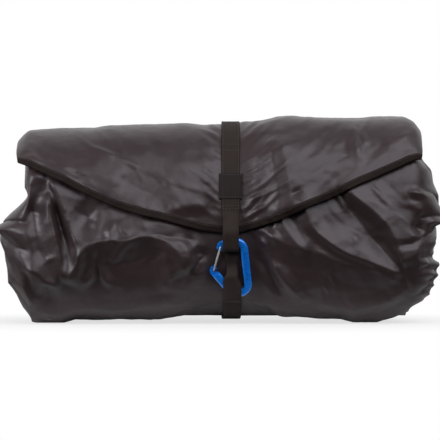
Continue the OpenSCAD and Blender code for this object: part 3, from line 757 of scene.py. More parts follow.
def weave(tree, across, down):
    """Height of a plain weave on the UV map, with threads of two spacings."""
    uv = add_node(tree, "ShaderNodeUVMap", uv_map="UVMap")
    parts = add_node(tree, "ShaderNodeSeparateXYZ", Vector=uv.outputs[0])
    waves = []
    for socket, pitch in ((parts.outputs[0], across), (parts.outputs[1], down)):
        turn = add_node(tree, "ShaderNodeMath", operation="MULTIPLY", in0=socket,
                        in1=2 * math.pi / (pitch * MM))
        waves.append(add_node(tree, "ShaderNodeMath", operation="SINE", in0=turn.outputs[0]).outputs[0])
    return add_node(tree, "ShaderNodeMath", operation="MULTIPLY", in0=waves[0], in1=waves[1]).outputs[0]


def nylon_look(name, colour, roughness):
    """Thin coated nylon: satin, with a fine weave and soft crinkles."""
    look, tree, shader, place = new_look(name)
    tree.links.new(mottled(tree, colour, 0.10, 40, place), shader.inputs["Base Color"])
    crinkle = add_node(tree, "ShaderNodeTexNoise", Vector=place, Scale=130.0, Detail=4.0, Roughness=0.55)
    soft = add_node(tree, "ShaderNodeBump", Strength=0.28, Distance=0.0012, Height=crinkle.outputs["Fac"])
    cloth = add_node(tree, "ShaderNodeBump", Strength=0.12, Distance=0.0001, Height=weave(tree, 0.5, 0.5),
                     Normal=soft.outputs[0])
    tree.links.new(cloth.outputs[0], shader.inputs["Normal"])
    set_inputs(shader, Roughness=roughness, Specular_Tint=(0.93, 0.92, 1.0, 1.0), Sheen_Weight=0.12,
               Sheen_Roughness=0.4, Sheen_Tint=(0.72, 0.70, 0.76, 1.0))
    return look


def webbing_look(name, colour, across, down, depth, shine=0.2):
    """Woven tape: matt, with ribs of thread on its UV map, painted shade in the weave's hollows and painted
    light on its crests.
    """
    look, tree, shader, place = new_look(name)
    height = weave(tree, across, down)
    # Painted shade and light: the colour is darker in the weave's hollows and lighter on its crests
    lift = remap(tree, height, -1.0, 1.0, 0.8, 1.15)
    tint = add_node(tree, "ShaderNodeVectorMath", operation="SCALE", Scale=lift,
                    in0=mottled(tree, colour, 0.12, 9, place))
    tree.links.new(tint.outputs[0], shader.inputs["Base Color"])
    ribs = add_node(tree, "ShaderNodeBump", Strength=0.5, Distance=depth * MM, Height=height)
    tree.links.new(ribs.outputs[0], shader.inputs["Normal"])
    set_inputs(shader, Roughness=0.7, Specular_IOR_Level=shine)
    return look


def thread_look(name, colour):
    """Twisted thread: matt, a little uneven in colour."""
    look, tree, shader, place = new_look(name)
    tree.links.new(mottled(tree, colour, 0.2, 2.5, place), shader.inputs["Base Color"])
    set_inputs(shader, Roughness=0.6)
    return look


def metal_look(name, colour, roughness, spread, metallic, coat):
    """Drawn or anodised metal, with a roughness that wanders a little."""
    look, tree, shader, place = new_look(name)
    tree.links.new(mottled(tree, colour, 0.05, 12, place), shader.inputs["Base Color"])
    grain = add_node(tree, "ShaderNodeTexNoise", Vector=place, Scale=420.0, Detail=3.0)
    dull = remap(tree, grain.outputs["Fac"], 0.3, 0.7, roughness - spread, roughness + spread)
    tree.links.new(dull, shader.inputs["Roughness"])
    set_inputs(shader, Metallic=metallic, Coat_Weight=coat, Coat_Roughness=0.08)
    return look


# Sizes and colours that a user would change

def measure(name, description, default, unit="LENGTH"):
    return bpy.props.FloatProperty(name=name, description=description, default=default, unit=unit, min=0.0)


def colour_value(name, description, default):
    return bpy.props.FloatVectorProperty(name=name, description=description, default=default, subtype="COLOR",
                                         size=3, min=0.0, max=1.0)


class ClothSettings(bpy.types.PropertyGroup):
    """Cloth of the pouch, its flap and its bed"""
    colour: colour_value("Cloth", "Colour of the pouch's nylon", (0.0290, 0.0178, 0.0185))
    bed_colour: colour_value("Bed cloth", "Colour of the hammock's nylon", (0.036, 0.028, 0.029))
    thickness: measure("Thickness", "Thickness of the cloth", 0.0008)
    roughness: bpy.props.FloatProperty(name="Roughness", description="How matt the nylon is", default=0.42,
                                       subtype="FACTOR", min=0.0, max=1.0)
    crumple: bpy.props.FloatProperty(name="Crumple", description="Share of the small crumples", default=0.8,
                                     min=0.0, max=2.0)
    gathers: bpy.props.IntProperty(name="Gathers", description="Gathers round each end", default=17,
                                   min=3, max=60)


class WebbingSettings(bpy.types.PropertyGroup):
    """Straps, tapes, label and stitches"""
    colour: colour_value("Webbing", "Colour of the straps", (0.024, 0.0160, 0.0146))
    tape_colour: colour_value("Tape", "Colour of the binding and seam tape", (0.0125, 0.0078, 0.0066))
    label_colour: colour_value("Label", "Colour of the label's sleeve", (0.015, 0.0105, 0.0108))
    thread_colour: colour_value("Thread", "Colour of the stitches", (0.050, 0.044, 0.043))
    stitch: measure("Stitch", "Length of a stitch with its gap", 0.0028)


class MetalSettings(bpy.types.PropertyGroup):
    """Carabiners"""
    body_colour: colour_value("Body", "Colour of the anodised body", (0.006, 0.215, 0.860))
    wire_colour: colour_value("Wire", "Colour of the steel gate", (0.78, 0.79, 0.80))


class StageSettings(bpy.types.PropertyGroup):
    """Camera, lamps and floor"""
    distance: measure("Camera distance", "From the middle of the roll to the camera", 3.2)
    elevation: bpy.props.FloatProperty(name="Elevation", description="Height of the view above the horizon",
                                       default=math.radians(0.7), subtype="ANGLE")
    width: measure("View width", "Width of the view at the middle of the roll", 0.484)
    aim: measure("Aim", "Height that the camera looks at", 0.112)
    key_power: measure("Key power", "Power of the lamp high in front", 45.5, "POWER")
    top_power: measure("Top power", "Power of the lamp overhead", 2.5, "POWER")
    side_power: measure("Side power", "Power of the lamp at the left", 19.0, "POWER")


def settings():
    """The four groups of values that the scene keeps."""
    scene = bpy.context.scene
    return scene.hammock_cloth, scene.hammock_webbing, scene.hammock_metal, scene.hammock_stage


# Pouch

def pouch_relief(points, normals):
    """How far the pouch's cloth stands off the plain roll."""
    cloth = settings()[0]
    x, z = points[:, 0], points[:, 2]
    front = front_relief(points, -normals[:, 1])
    back = smooth(-0.2, 0.4, normals[:, 1])
    # Crumples stop short of the mouth's hem at the front and of the seam's tape at the back
    free = (1 - 0.9 * strap_rest(x, z)) * smooth(4, 16, MOUTH_Z - z + 400 * back)
    free = free * (1 - back * smooth(HINGE_Z - 44, HINGE_Z - 22, z))
    return front + small_relief(points, 11, cloth.crumple) * free


def end_relief(t, a, side, count):
    """Gathers that run in from an end seam to the middle of its panel."""
    wander = 0.5 * np.sin(np.radians(3 * a + 40 * side)) + 0.35 * np.sin(np.radians(7 * a + 110))
    wave = np.abs(np.sin(np.radians(count * a / 2) + wander + 1.2 * t))
    deep = 5.5 + 2.0 * np.sin(np.radians(2 * a + 70 * side))
    return -deep * np.sin(np.pi * np.clip(t, 0, 1)) ** 0.8 * (1 - np.sqrt(wave)) + 1.2 * np.sin(np.pi * t)


def wrap_angles(mouth, hinge):
    """Angles of the points round the roll, from the mouth down the front and up the back to the hinge."""
    share = np.concatenate([np.linspace(0, 1, FRONT_ROWS + 1), np.linspace(1, 2, BACK_ROWS + 1)[1:]])
    mouth, hinge = mouth[:, None], hinge[:, None]
    return np.where(share < 1, mouth + (180 - mouth) * share, 180 + (hinge - 180) * (share - 1))


def end_panel(side, x, turn, seam, first):
    """Points, faces, UV, way to the middle and angles of an end panel. Its outer ring starts with the seam's
    points, and the points that it adds are numbered from first."""
    count, shared = len(turn), len(seam)
    t = np.linspace(0, 1, END_RINGS + 1)[:-1] ** 0.9
    r = section_r(half_depth(x), half_height(x), turn)
    stand = END_BULGE * np.sin(np.radians(END_TURN * t))
    inward = np.cos(np.radians(90 * t))
    grid = np.stack([
        np.broadcast_to(side * (SEAM_X + stand)[:, None], (END_RINGS, count)),
        PACK_Y - np.outer(inward, r * np.sin(np.radians(turn))),
        mid_z(x) + np.outer(inward, r * np.cos(np.radians(turn))),
    ], axis=-1)
    middle = [[side * (SEAM_X + END_HOLLOW), PACK_Y, mid_z(x)]]
    points = np.vstack([grid[0, shared:], grid[1:].reshape(-1, 3), middle])
    near_end = np.concatenate([np.zeros(count - shared), np.repeat(t[1:], count), [1.0]])
    spokes = np.concatenate([turn[shared:], np.tile(turn, END_RINGS - 1), [0.0]])
    uv = np.stack([side * (SEAM_X + END_RUN * near_end), np.radians(spokes) * ROLL_R], axis=1)
    last = first + len(points) - 1
    index = np.concatenate([seam, np.arange(first, last)]).reshape(END_RINGS, count)
    after = np.roll(index, -1, axis=1)
    hub = np.full(count, last)
    quads = np.stack([index[:-1], after[:-1], after[1:], index[1:]], axis=-1).reshape(-1, 4)
    wedges = np.stack([index[-1], after[-1], hub, hub], axis=1)
    if side < 0:
        quads, wedges = quads[:, ::-1], wedges[:, [1, 0, 2, 3]]
    return points, np.vstack([quads, wedges]), uv, near_end, spokes


def fitted_ends(points, sides):
    """Points of the pouch, with its two ends drawn to their outlines."""
    out = points.copy()
    for side, outline in ((-1, LEFT_OUTLINE), (1, RIGHT_OUTLINE)):
        mine = sides == side
        x, y, z = points[mine].T
        high = np.clip(np.abs((mid_z(side * SEAM_X) - z) / half_height(side * SEAM_X)), 0, 1)
        plain = END_BULGE * np.sin(np.radians(END_TURN * np.degrees(np.arccos(high)) / 90))
        ratio = along(outline, z) / np.maximum(plain, 6.0)
        ruffle = 1.0 + 0.06 * np.sin(z / 1.9 + 0.03 * y) * smooth(95, 60, z) if side > 0 else 1.0
        out[mine, 0] = side * (SEAM_X + np.maximum(side * x - SEAM_X, 0) * np.clip(ratio, 0.1, 1.25) * ruffle)
    return out


def rested(points):
    """Points of the pouch, with its underside raised to its line and its ends kept within their limit."""
    out = points.copy()
    out[:, 2] += along(BASE_LINE, out[:, 0]) * np.clip(1 - out[:, 2] / BASE_REACH, 0, 1) ** 1.4
    out[:, 2] = np.maximum(out[:, 2], 0.3)
    out[:, 0] = np.clip(out[:, 0], -END_LIMIT, END_LIMIT)
    return out


class HAMMOCK_OT_pouch(bpy.types.Operator):
    """Make the pouch: wrap and gathered ends in one cloth, open at the mouth"""
    bl_idname = "hammock.pouch"
    bl_label = "Pouch"

    def execute(self, context):
        cloth = settings()[0]
        xs = np.linspace(-SEAM_X, SEAM_X, COLUMNS)
        mouth = mouth_angle(xs)
        hinge = 360 + back_angle(xs)
        angles = wrap_angles(mouth, hinge)
        rows = angles.shape[1]
        points = skin(xs[:, None], angles, 0.0).reshape(-1, 3)
        faces = grid_faces(COLUMNS, rows)
        uv = np.stack([np.repeat(xs, rows), np.radians(angles).ravel() * ROLL_R], axis=1)
        # Of each point: way from a seam to the middle of its end, angle, and side of the pouch
        near_end, spokes, sides = np.zeros(len(points)), angles.ravel(), np.zeros(len(points))
        for side, column in ((-1, 0), (1, COLUMNS - 1)):
            gap = np.linspace(hinge[column], 360 + mouth[column], MOUTH_ROWS + 2)[1:-1]
            turn = np.concatenate([angles[column], gap])
            seam = column * rows + np.arange(rows)
            panel = end_panel(side, xs[column], turn, seam, len(points))
            points, faces, uv = (np.vstack(pair) for pair in zip((points, faces, uv), panel))
            near_end, spokes = (np.concatenate(pair) for pair in zip((near_end, spokes), panel[3:]))
            sides = np.concatenate([sides, np.full(len(panel[0]), side)])
        points[:, 2] = np.maximum(points[:, 2], 0)
        normals = vertex_normals(points, faces)
        centre = points * 0 + np.array([0, PACK_Y, MIDDLE_Z])
        centre[:, 0] = np.clip(points[:, 0], -150, 150)
        if np.sum(normals * (points - centre)) < 0:
            normals = -normals
            faces = faces[:, ::-1]
        relief = pouch_relief(points, normals) * (1 - smooth(0.75, 1.0, near_end))
        ends = sides != 0
        relief[ends] += end_relief(near_end[ends], spokes[ends], sides[ends], cloth.gathers)
        points = rested(sunk(fitted_ends(points + normals * relief[:, None], sides)))
        # Faces at the middle of an end have three corners
        faces = [f[:3] if f[2] == f[3] else f for f in faces.tolist()]
        faces = [f[1:] if f[0] == f[1] else f for f in faces]
        look = nylon_look("pouch_nylon", cloth.colour, cloth.roughness)
        piece = make_piece("pouch_cloth", points, faces, look, uv)
        thicken(piece, cloth.thickness / MM, -1.0)
        settle(piece, "pack", "pack_nylon", "pack_panel", "left_end", "right_end")
        return {"FINISHED"}


# Flap

def strap_puckers():
    """Short creases in the flap along both edges of its webbing."""
    rng = np.random.default_rng(5)
    out = []
    for side in (-1, 1):
        for z in np.arange(112, 214, 5.2):
            start = STRAP_X + side * (STRAP_WIDTH / 2 - 1)
            reach = rng.uniform(14, 62) if side > 0 else rng.uniform(10, 30)
            rise = rng.uniform(0.3, 0.8) * reach
            jog = z + rng.uniform(-2.5, 2.5)
            middle = (start + side * reach * 0.5, jog + rise * 0.4)
            points = [(start, jog), middle, (start + side * reach, jog + rise)]
            out.append((rng.uniform(0.6, 1.6), 2.4, 2.4, points))
    return out


def section_normal(x, a):
    """Outward direction of the plain roll's section."""
    y = -np.sin(np.radians(a))
    z = np.cos(np.radians(a))
    r = section_r(half_depth(x), half_height(x), a)
    gy = np.sign(y) * (np.abs(y) * r) ** (ROUNDNESS - 1) / half_depth(x) ** ROUNDNESS
    gz = np.sign(z) * (np.abs(z) * r) ** (ROUNDNESS - 1) / half_height(x) ** ROUNDNESS
    n = np.stack([0 * gy, gy, gz], axis=-1)
    return n / np.linalg.norm(n, axis=-1)[..., None]


def flap_point(x, a, d):
    """Point of the flap's middle surface with its folds, raised by d."""
    x, a = np.broadcast_arrays(np.asarray(x, float), np.asarray(a, float))
    shape = x.shape
    x, a = x.ravel(), a.ravel()
    base = skin(x, a, FLAP_MIDDLE)
    normal = section_normal(x, a)
    z = base[:, 2]
    facing = -normal[:, 1]
    small = settings()[0].crumple
    under = front_relief(base, facing) + 0.6 * np.maximum(small_relief(base, 11, small), -1)
    folds = joined(x, z, FLAP_FOLDS) * smooth(0.0, 0.35, facing)
    strays = (stray_folds(61, 44, (-215, 0), (125, 216), 140, 25, (20, 70), (0.25, 0.65))
              + stray_folds(62, 44, (22, 215), (120, 222), 42, 22, (20, 80), (0.25, 0.7)))
    creases = sum(fold_height(x, z, fold) for fold in strap_puckers() + strays)
    creases = creases * smooth(-0.2, 0.3, facing) * smooth(9, 12, np.abs(x - STRAP_X))
    held = 1 - smooth(9, 30, np.abs(x - STRAP_X))
    down = (a - back_angle(x)) / (edge_angle(x) - back_angle(x))
    full = 2.0 + 4.0 * smooth(0, 120, x)
    puff = full * np.sin(np.pi * np.clip(down, 0, 1)) ** 0.7 * smooth(0.1, 0.7, facing)
    lift = 2.2 * smooth(0.80, 1.0, down)
    own = small_relief(base + 300, 23, small * 0.4)
    rise = (under + folds + puff + lift + own) * (1 - held) + 0.45 * held + creases
    rise = np.maximum(rise * smooth(0.0, 0.1, down), 0.0)
    out = sunk(base + normal * (rise + np.asarray(d, float))[:, None])
    # The flap's two sides are drawn in below the top
    out[:, 0] -= np.sign(x) * 4.0 * smooth(196, 222, np.abs(x)) * smooth(196, 160, z)
    return out.reshape(shape + (3,))


def wavy_edge(x):
    """Angle of the flap's lower edge, which wanders a little."""
    line = np.stack([x, 0 * x + 7.3, 0 * x + 3.1], axis=1)
    wander = 1.6 * crumple(line, 38, 31) * smooth(14, 40, np.abs(x - STRAP_X))
    return angle_at(x, edge_z(x) + wander)


class HAMMOCK_OT_flap(bpy.types.Operator):
    """Make the flap that comes over the top from the back"""
    bl_idname = "hammock.flap"
    bl_label = "Flap"

    def execute(self, context):
        cloth = settings()[0]
        xs = np.linspace(*FLAP_SIDES, FLAP_COLUMNS)
        start = back_angle(xs)[:, None]
        angles = start + (wavy_edge(xs)[:, None] - start) * np.linspace(0, 1, FLAP_ROWS)
        points = flap_point(xs[:, None], angles, 0.0).reshape(-1, 3)
        faces = grid_faces(FLAP_COLUMNS, FLAP_ROWS)
        if vertex_normals(points, faces)[:, 1].sum() > 0:
            faces = faces[:, ::-1]
        uv = np.stack([np.repeat(xs, FLAP_ROWS), np.radians(angles).ravel() * ROLL_R], axis=1)
        look = nylon_look("flap_nylon", cloth.colour, cloth.roughness)
        piece = make_piece("flap_cloth", points, faces, look, uv)
        thicken(piece, cloth.thickness / MM, 0.0)
        settle(piece, "flap", "pack_nylon", "flap")
        return {"FINISHED"}


# Tapes

def folded_tape(xs, edge, way, surface, width, low, high, thickness):
    """Tape folded over an edge, with its width to one way. surface gives points from x, angle and height."""
    steps = np.linspace(1, 0, 7)
    rings = []
    for over, shares in ((high + thickness, steps), (low - thickness, steps[::-1])):
        for share in shares:
            a = edge + way * degrees_per_mm(xs, edge) * (width * share - thickness)
            rings.append(surface(xs, a, over))
    points = np.stack(rings, axis=1)
    n, k = points.shape[:2]
    v = np.concatenate([steps * width, -steps[::-1] * width - thickness])
    length = run_along(points[:, len(steps) - 1])
    uv = np.stack([np.broadcast_to(v, (n, k)), np.broadcast_to(length[:, None], (n, k))], axis=-1)
    return points.reshape(-1, 3), grid_faces(n, k), uv.reshape(-1, 2)


class HAMMOCK_OT_tapes(bpy.types.Operator):
    """Make the binding of the flap, the hem of the mouth and the tape on the back seam"""
    bl_idname = "hammock.tapes"
    bl_label = "Tapes"

    def execute(self, context):
        webbing = settings()[1]
        look = webbing_look("grosgrain_tape", webbing.tape_colour, across=60.0, down=0.9, depth=0.12,
                            shine=0.14)
        flap_xs = np.linspace(*FLAP_SIDES, 300)
        xs = np.linspace(-SEAM_X, SEAM_X, 200)
        binding = folded_tape(flap_xs, wavy_edge(flap_xs), -1, flap_point, BINDING_WIDTH, -0.45, 0.45, 0.35)
        hem = folded_tape(xs, mouth_angle(xs), 1, sunk_skin, HEM_WIDTH, -0.9, 0.1, 0.3)
        for name, (points, faces, uv), body, node in (("flap_binding_tape", binding, "flap", "flap_binding"),
                                                      ("mouth_hem_tape", hem, "pack", "mouth_hem")):
            piece = make_piece(name, points, faces, look, uv)
            thicken(piece, 0.5, 0.0)
            settle(piece, body, "tape", node)
        seam = 360 + back_angle(xs)
        down = np.linspace(*SEAM_TAPE, 10)
        points = sunk_skin(xs[:, None], seam[:, None] - degrees_per_mm(xs, seam)[:, None] * down, 0.75)
        uv = np.stack(np.broadcast_arrays(down, xs[:, None]), axis=-1)
        faces = grid_faces(len(xs), len(down))
        piece = make_piece("back_seam_tape", points.reshape(-1, 3), faces, look, uv.reshape(-1, 2))
        thicken(piece, 0.7, 0.0)
        settle(piece, None, "tape", "hinge_tape")
        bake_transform(piece)
        return {"FINISHED"}


# Webbing

def on_plane(w, q):
    """Point at x 0 in the plane across the carabiner: w along its lean and q out of it."""
    return np.concatenate([[0.0], SWAY_AT[1:] + w * LEAN_UP + q * LEAN_OUT])


def strap_path(x, start, end, d, step=2.0):
    """Points on the roll from one angle to another, in the strap's own plane."""
    count = max(3, int(abs(end - start) * 1.6 / step))
    path = sunk(skin(x, np.linspace(start, end, count), d))
    path[:, 0] = 0
    return path


def outer_side(path):
    """Directions from the middle of the roll to a path's points."""
    return path - np.array([0, PACK_Y, MIDDLE_Z])


def back_start():
    """Angle at which the strap on the back starts, below the seam."""
    return 360 + back_angle(STRAP_X) - np.degrees(BACK_START / ROLL_R)


def flap_webbing(look):
    """Makes the webbing down the flap, which ends in a doubled loop round the carabiner's bar."""
    tab = joint_place("tab_fold")
    tab_a = angle_at(STRAP_X, tab[2])
    foot_a = angle_at(STRAP_X, on_plane(BAR_TOP, 0)[2])

    def below_tab(t, d):
        return skin(STRAP_X, tab_a + (foot_a - tab_a) * t, d) * np.array([0, 1, 1])

    sewn = strap_path(STRAP_X, back_angle(STRAP_X), tab_a - 2, STRAP_MIDDLE)
    run = np.linalg.norm(skin(STRAP_X, tab_a, STRAP_MIDDLE)[1:] - on_plane(BAR_TOP, LOOP_R)[1:])
    slope = []
    for t in np.linspace(0, 1, 10):
        e = smooth(0, 1, t)
        slope.append(below_tab(t, STRAP_MIDDLE) * (1 - e) + on_plane(BAR_TOP + (1 - t) * run, LOOP_R) * e)
    turn = [on_plane(LOOP_BASE - LOOP_R * math.sin(b), LOOP_R * math.cos(b))
            for b in np.linspace(0, math.pi, 16)]
    behind = [below_tab(t, TAB_MIDDLE) for t in np.linspace(1.0, 0.35, 8)]
    path = eased(resampled(np.vstack([sewn, slope, turn, behind]), STRAP_STEP), 2)
    n = np.arange(len(path))
    past = np.cumsum(n * STRAP_STEP >= run_along(sewn)[-1]) * STRAP_STEP
    width = STRAP_WIDTH + (TAB_WIDTH - STRAP_WIDTH) * smooth(0, 14, past)
    # The part that is doubled back has its outer side inwards, and doesn't count
    outward = outer_side(path) * (n < 0.75 * len(path))[:, None]
    points, faces, uv = ribbon(path, width, STRAP_T, outward)
    points[:, 0] += STRAP_X
    piece = make_piece("flap_webbing", points, faces, look, uv, closed=True)
    settle(piece, None, "webbing", "flap_strap", "clip_tab")
    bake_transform(piece)


def drawn_in(points):
    """Points of the closing webbing, narrowed and pressed back where the carabiner moves past it."""
    out = points.copy()
    x, front = points[:, 0], points[:, 1] < 0
    w = (points[:, 1:] - SWAY_AT[1:]) @ LEAN_UP
    right = 0.40 * smooth(-49, -38, w) * smooth(-16, -27, w)
    left = 0.37 * smooth(-43, -33.5, w) * smooth(-15, -26, w)
    out[:, 0] *= 1 - np.where(x > 0, right, left) * front
    press = 0.45 * smooth(-31, -26, w) * smooth(-10, -17, w) * front
    out[:, 1:] -= press[:, None] * LEAN_OUT
    return out


def closing_webbing(look):
    """Makes the webbing round the back and the bottom, which passes through the carabiner at the front."""
    low, high, crossing = -SPINE_HEIGHT - 3, -39.0, 12.0
    under_end = angle_at(CLIP_X, on_plane(low, LOOP_R)[2] - 2)
    back = strap_path(STRAP_X, back_start(), UNDER_ANGLE, WRAP_STRAP)
    under = strap_path(CLIP_X, UNDER_ANGLE - 0.5, under_end, WRAP_STRAP)
    front = [on_plane(w, LOOP_R) for w in np.linspace(low, high, 4)]
    cross = [on_plane(high + crossing * i / 6, LOOP_R * math.cos(math.pi * i / 6)) for i in range(1, 6)]
    end_z = on_plane(high + crossing + 1, -LOOP_R)[2]
    behind = strap_path(CLIP_X, angle_at(CLIP_X, end_z), angle_at(CLIP_X, SWAY_AT[2] + 6), WRAP_STRAP)
    path = resampled(np.vstack([back, under, front, cross, behind]), STRAP_STEP)
    points, faces, uv = ribbon(path, STRAP_WIDTH, STRAP_T, outer_side(path))
    points = drawn_in(points)
    # From the flap's webbing at the back to the carabiner at the front
    shift = smooth(0, 1, (np.arange(len(path)) * STRAP_STEP - 180) / 60)
    points[:, 0] += STRAP_X + (CLIP_X - STRAP_X) * np.repeat(shift, len(WEBBING_SECTION))
    piece = make_piece("closing_webbing", points, faces, look, uv, closed=True)
    settle(piece, "pack", "webbing", "back_strap", "clip_strap")


def label_sleeve(look):
    """Makes the label's sleeve, with a bore for the flap's webbing."""
    path = strap_path(STRAP_X, angle_at(STRAP_X, LABEL_TOP), angle_at(STRAP_X, LABEL_FOOT), STRAP_MIDDLE)
    path = resampled(path, 1.0)
    outer, faces, uv = ribbon(path, LABEL_WIDTH, LABEL_T, outer_side(path))
    inner = ribbon(path, LABEL_BORE_WIDTH, LABEL_BORE_T, outer_side(path))[0]
    points = np.vstack([outer, inner])
    points[:, 0] += STRAP_X
    k, shift = len(WEBBING_SECTION), len(outer)
    shell = faces[:-2] + [tuple(i + shift for i in f[::-1]) for f in faces[:-2]]
    for ring in (0, shift - k):
        for j in range(k):
            after = ring + (j + 1) % k
            shell.append((ring + j, after, after + shift, ring + j + shift))
    piece = make_piece("label_sleeve", points, shell, look, np.vstack([uv, uv]), closed=True)
    settle(piece, "flap", "label", "strap_label")


class HAMMOCK_OT_straps(bpy.types.Operator):
    """Make the webbing down the flap with its loop, the closing strap and the label's sleeve"""
    bl_idname = "hammock.straps"
    bl_label = "Straps"

    def execute(self, context):
        webbing = settings()[1]
        look = webbing_look("pack_webbing", webbing.colour, across=2.4, down=1.5, depth=0.25)
        flap_webbing(look)
        closing_webbing(look)
        label_sleeve(webbing_look("label_weave", webbing.label_colour, across=0.6, down=0.6, depth=0.05))
        return {"FINISHED"}


def beside(path):
    """Two lines along webbing, near its edges."""
    return [path + [STRAP_X + side * SEWN_HALF, 0, 0] for side in (-1, 1)]


def row_across(point, half):
    """Line across webbing at one of its points."""
    xs = np.linspace(-half, half, 9)
    return point + np.stack([STRAP_X + xs, 0 * xs, 0 * xs], axis=1)


class HAMMOCK_OT_stitches(bpy.types.Operator):
    """Sew the webbing, label, binding, hem and seam tape"""
    bl_idname = "hammock.stitches"
    bl_label = "Stitches"

    def execute(self, context):
        webbing = settings()[1]
        thread = thread_look("thread", webbing.thread_colour)
        tree = stitch_tree()
        on_strap = STRAP_MIDDLE + STRAP_T / 2 + THREAD_LIFT
        tab_a = angle_at(STRAP_X, joint_place("tab_fold")[2])
        flap_lines = beside(strap_path(STRAP_X, back_angle(STRAP_X) + 2, tab_a - 2, on_strap))
        for heights, over, half in ((STRAP_ROWS, on_strap, SEWN_HALF), (LABEL_ROWS, STRAP_MIDDLE + 1.22, 11)):
            for z in heights:
                a = angle_at(STRAP_X, z)
                flap_lines.append(row_across(strap_path(STRAP_X, a, a, over)[:1], half))
        xs = np.linspace(FLAP_SIDES[0] + 2, FLAP_SIDES[1] - 2, 300)
        edge = wavy_edge(xs)
        line = flap_point(xs, edge - degrees_per_mm(xs, edge) * BINDING_ROW, 1.1)
        flap_lines += [line[xs < STRAP_X - 11], line[xs > STRAP_X + 11]]
        piece = sew("flap_stitches", flap_lines, tree, thread, webbing.stitch)
        settle(piece, "flap", "tape")

        xs = np.linspace(-SEAM_X + 1, SEAM_X - 1, 200)
        seam = 360 + back_angle(xs)
        pack_lines = [sunk_skin(xs, seam - degrees_per_mm(xs, seam) * down, 1.15) for down in SEAM_ROWS]
        mouth = mouth_angle(xs)
        pack_lines.append(sunk_skin(xs, mouth + degrees_per_mm(xs, mouth) * HEM_ROW, 0.7))
        top = back_start()
        back = strap_path(STRAP_X, top - 2, top - 14, WRAP_STRAP + STRAP_T / 2 + THREAD_LIFT)
        pack_lines += beside(back) + [row_across(end, SEWN_HALF) for end in (back[:1], back[-1:])]
        piece = sew("pouch_stitches", pack_lines, tree, thread, webbing.stitch)
        settle(piece, "pack", "tape")
        return {"FINISHED"}


# Rigid pieces

def smooth_solid_tree():
    """Geometry nodes that merge a solid's triangles and shade its round faces smooth."""
    tree = bpy.data.node_groups.new("Smooth solid", "GeometryNodeTree")
    tree.interface.new_socket("Geometry", in_out="INPUT", socket_type="NodeSocketGeometry")
    crease = tree.interface.new_socket("Crease angle", in_out="INPUT", socket_type="NodeSocketFloat")
    crease.default_value = math.radians(32)
    tree.interface.new_socket("Geometry", in_out="OUTPUT", socket_type="NodeSocketGeometry")
    start = tree.nodes.new("NodeGroupInput")
    merge = add_node(tree, "GeometryNodeMergeByDistance", Geometry=start.outputs[0], Distance=0.00001)
    faces = add_node(tree, "GeometryNodeSetShadeSmooth", Geometry=merge.outputs[0], domain="FACE")
    angle = add_node(tree, "GeometryNodeInputMeshEdgeAngle")
    round_edge = add_node(tree, "FunctionNodeCompare", operation="LESS_EQUAL", in0=angle.outputs[0],
                          in1=start.outputs[1])
    edges = add_node(tree, "GeometryNodeSetShadeSmooth", Geometry=faces.outputs[0], domain="EDGE",
                     Shade_Smooth=round_edge.outputs[0])
    end = tree.nodes.new("NodeGroupOutput")
    tree.links.new(edges.outputs[0], end.inputs[0])
    return tree


# Contents

def rolled_bed(look):
    """Makes the bed, which is rolled up and fills the pouch."""
    middle, height = (BED_LOW + BED_HIGH) / 2, (BED_HIGH - BED_LOW) / 2
    turns = np.linspace(0, BED_TURNS, 320)
    a = np.radians(360 * turns)
    r = section_r(BED_DEPTH, height, 360 * turns) - BED_PITCH * (BED_TURNS - turns)
    outer, inner = (np.stack([PACK_Y - (r - d) * np.sin(a), middle + (r - d) * np.cos(a)], axis=1)
                    for d in (0.0, BED_LAYER))
    loop = np.vstack([outer, inner[::-1]])
    xs = np.linspace(-SEAM_X + 2, SEAM_X - 2, 64)
    n, k = len(xs), len(loop)
    points = np.column_stack([np.repeat(xs, k), np.tile(loop, (n, 1))])
    points[:, 1:] += 0.45 * np.stack([crumple(points, 22, seed) for seed in (41, 42)], axis=1)
    faces = ring_faces(n, k)
    half = k // 2
    for ring in (0, (n - 1) * k):
        faces += [(ring + j, ring + j + 1, ring + k - 2 - j, ring + k - 1 - j) for j in range(half - 1)]
    length = run_along(loop)
    uv = np.stack([points[:, 0], np.tile(length, n)], axis=1)
    piece = make_piece("rolled_bed", points, faces, look, uv, closed=True)
    settle(piece, "pack", "bed_nylon", "hammock_bed")


def wound_strap(side, look):
    """Makes the tree strap of one side, wound up."""
    low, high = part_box(side + "_tree_strap")
    turns = np.linspace(0, COIL_TURNS, 24 * COIL_TURNS)
    r = COIL_HOLE / 2 + COIL_PITCH * turns + STRAP_T / 2
    a = 2 * math.pi * turns
    path = np.stack([0 * a, r * np.cos(a), r * np.sin(a)], axis=1)
    points, faces, uv = ribbon(path, STRAP_WIDTH, STRAP_T, path)
    middle_x = high[0] / MM - r[-1] - STRAP_T / 2
    middle_z = low[2] / MM + COIL_HOLE / 2 + COIL_PITCH * (COIL_TURNS - 0.25) + STRAP_T
    points = points[:, [1, 0, 2]] + np.array([middle_x, PACK_Y, middle_z])
    piece = make_piece(side + "_wound_strap", points, faces, look, uv, closed=True)
    settle(piece, "pack", "webbing", side + "_tree_strap")


def cord_sling(side, look):
    """Makes the sling of one side, a closed loop of cord with two straight runs."""
    low, high = (np.array(corner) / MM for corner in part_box(side + "_sling"))
    bend = (high[2] - low[2]) / 2 - SLING_D / 2
    run = (high[0] - low[0]) / 2 - bend - SLING_D / 2
    a = np.linspace(-math.pi / 2, math.pi / 2, 25)
    end = np.stack([run + bend * np.cos(a), 0 * a, bend * np.sin(a)], axis=1)
    path = resampled(np.vstack([end, -end, end[:1]]), STRAP_STEP)
    points, faces, uv = tube((low + high) / 2 + path[:-1], SLING_D / 2)
    piece = make_piece(side + "_cord_sling", points, faces, look, uv, closed=True)
    settle(piece, "pack", "sling_cord", side + "_sling")


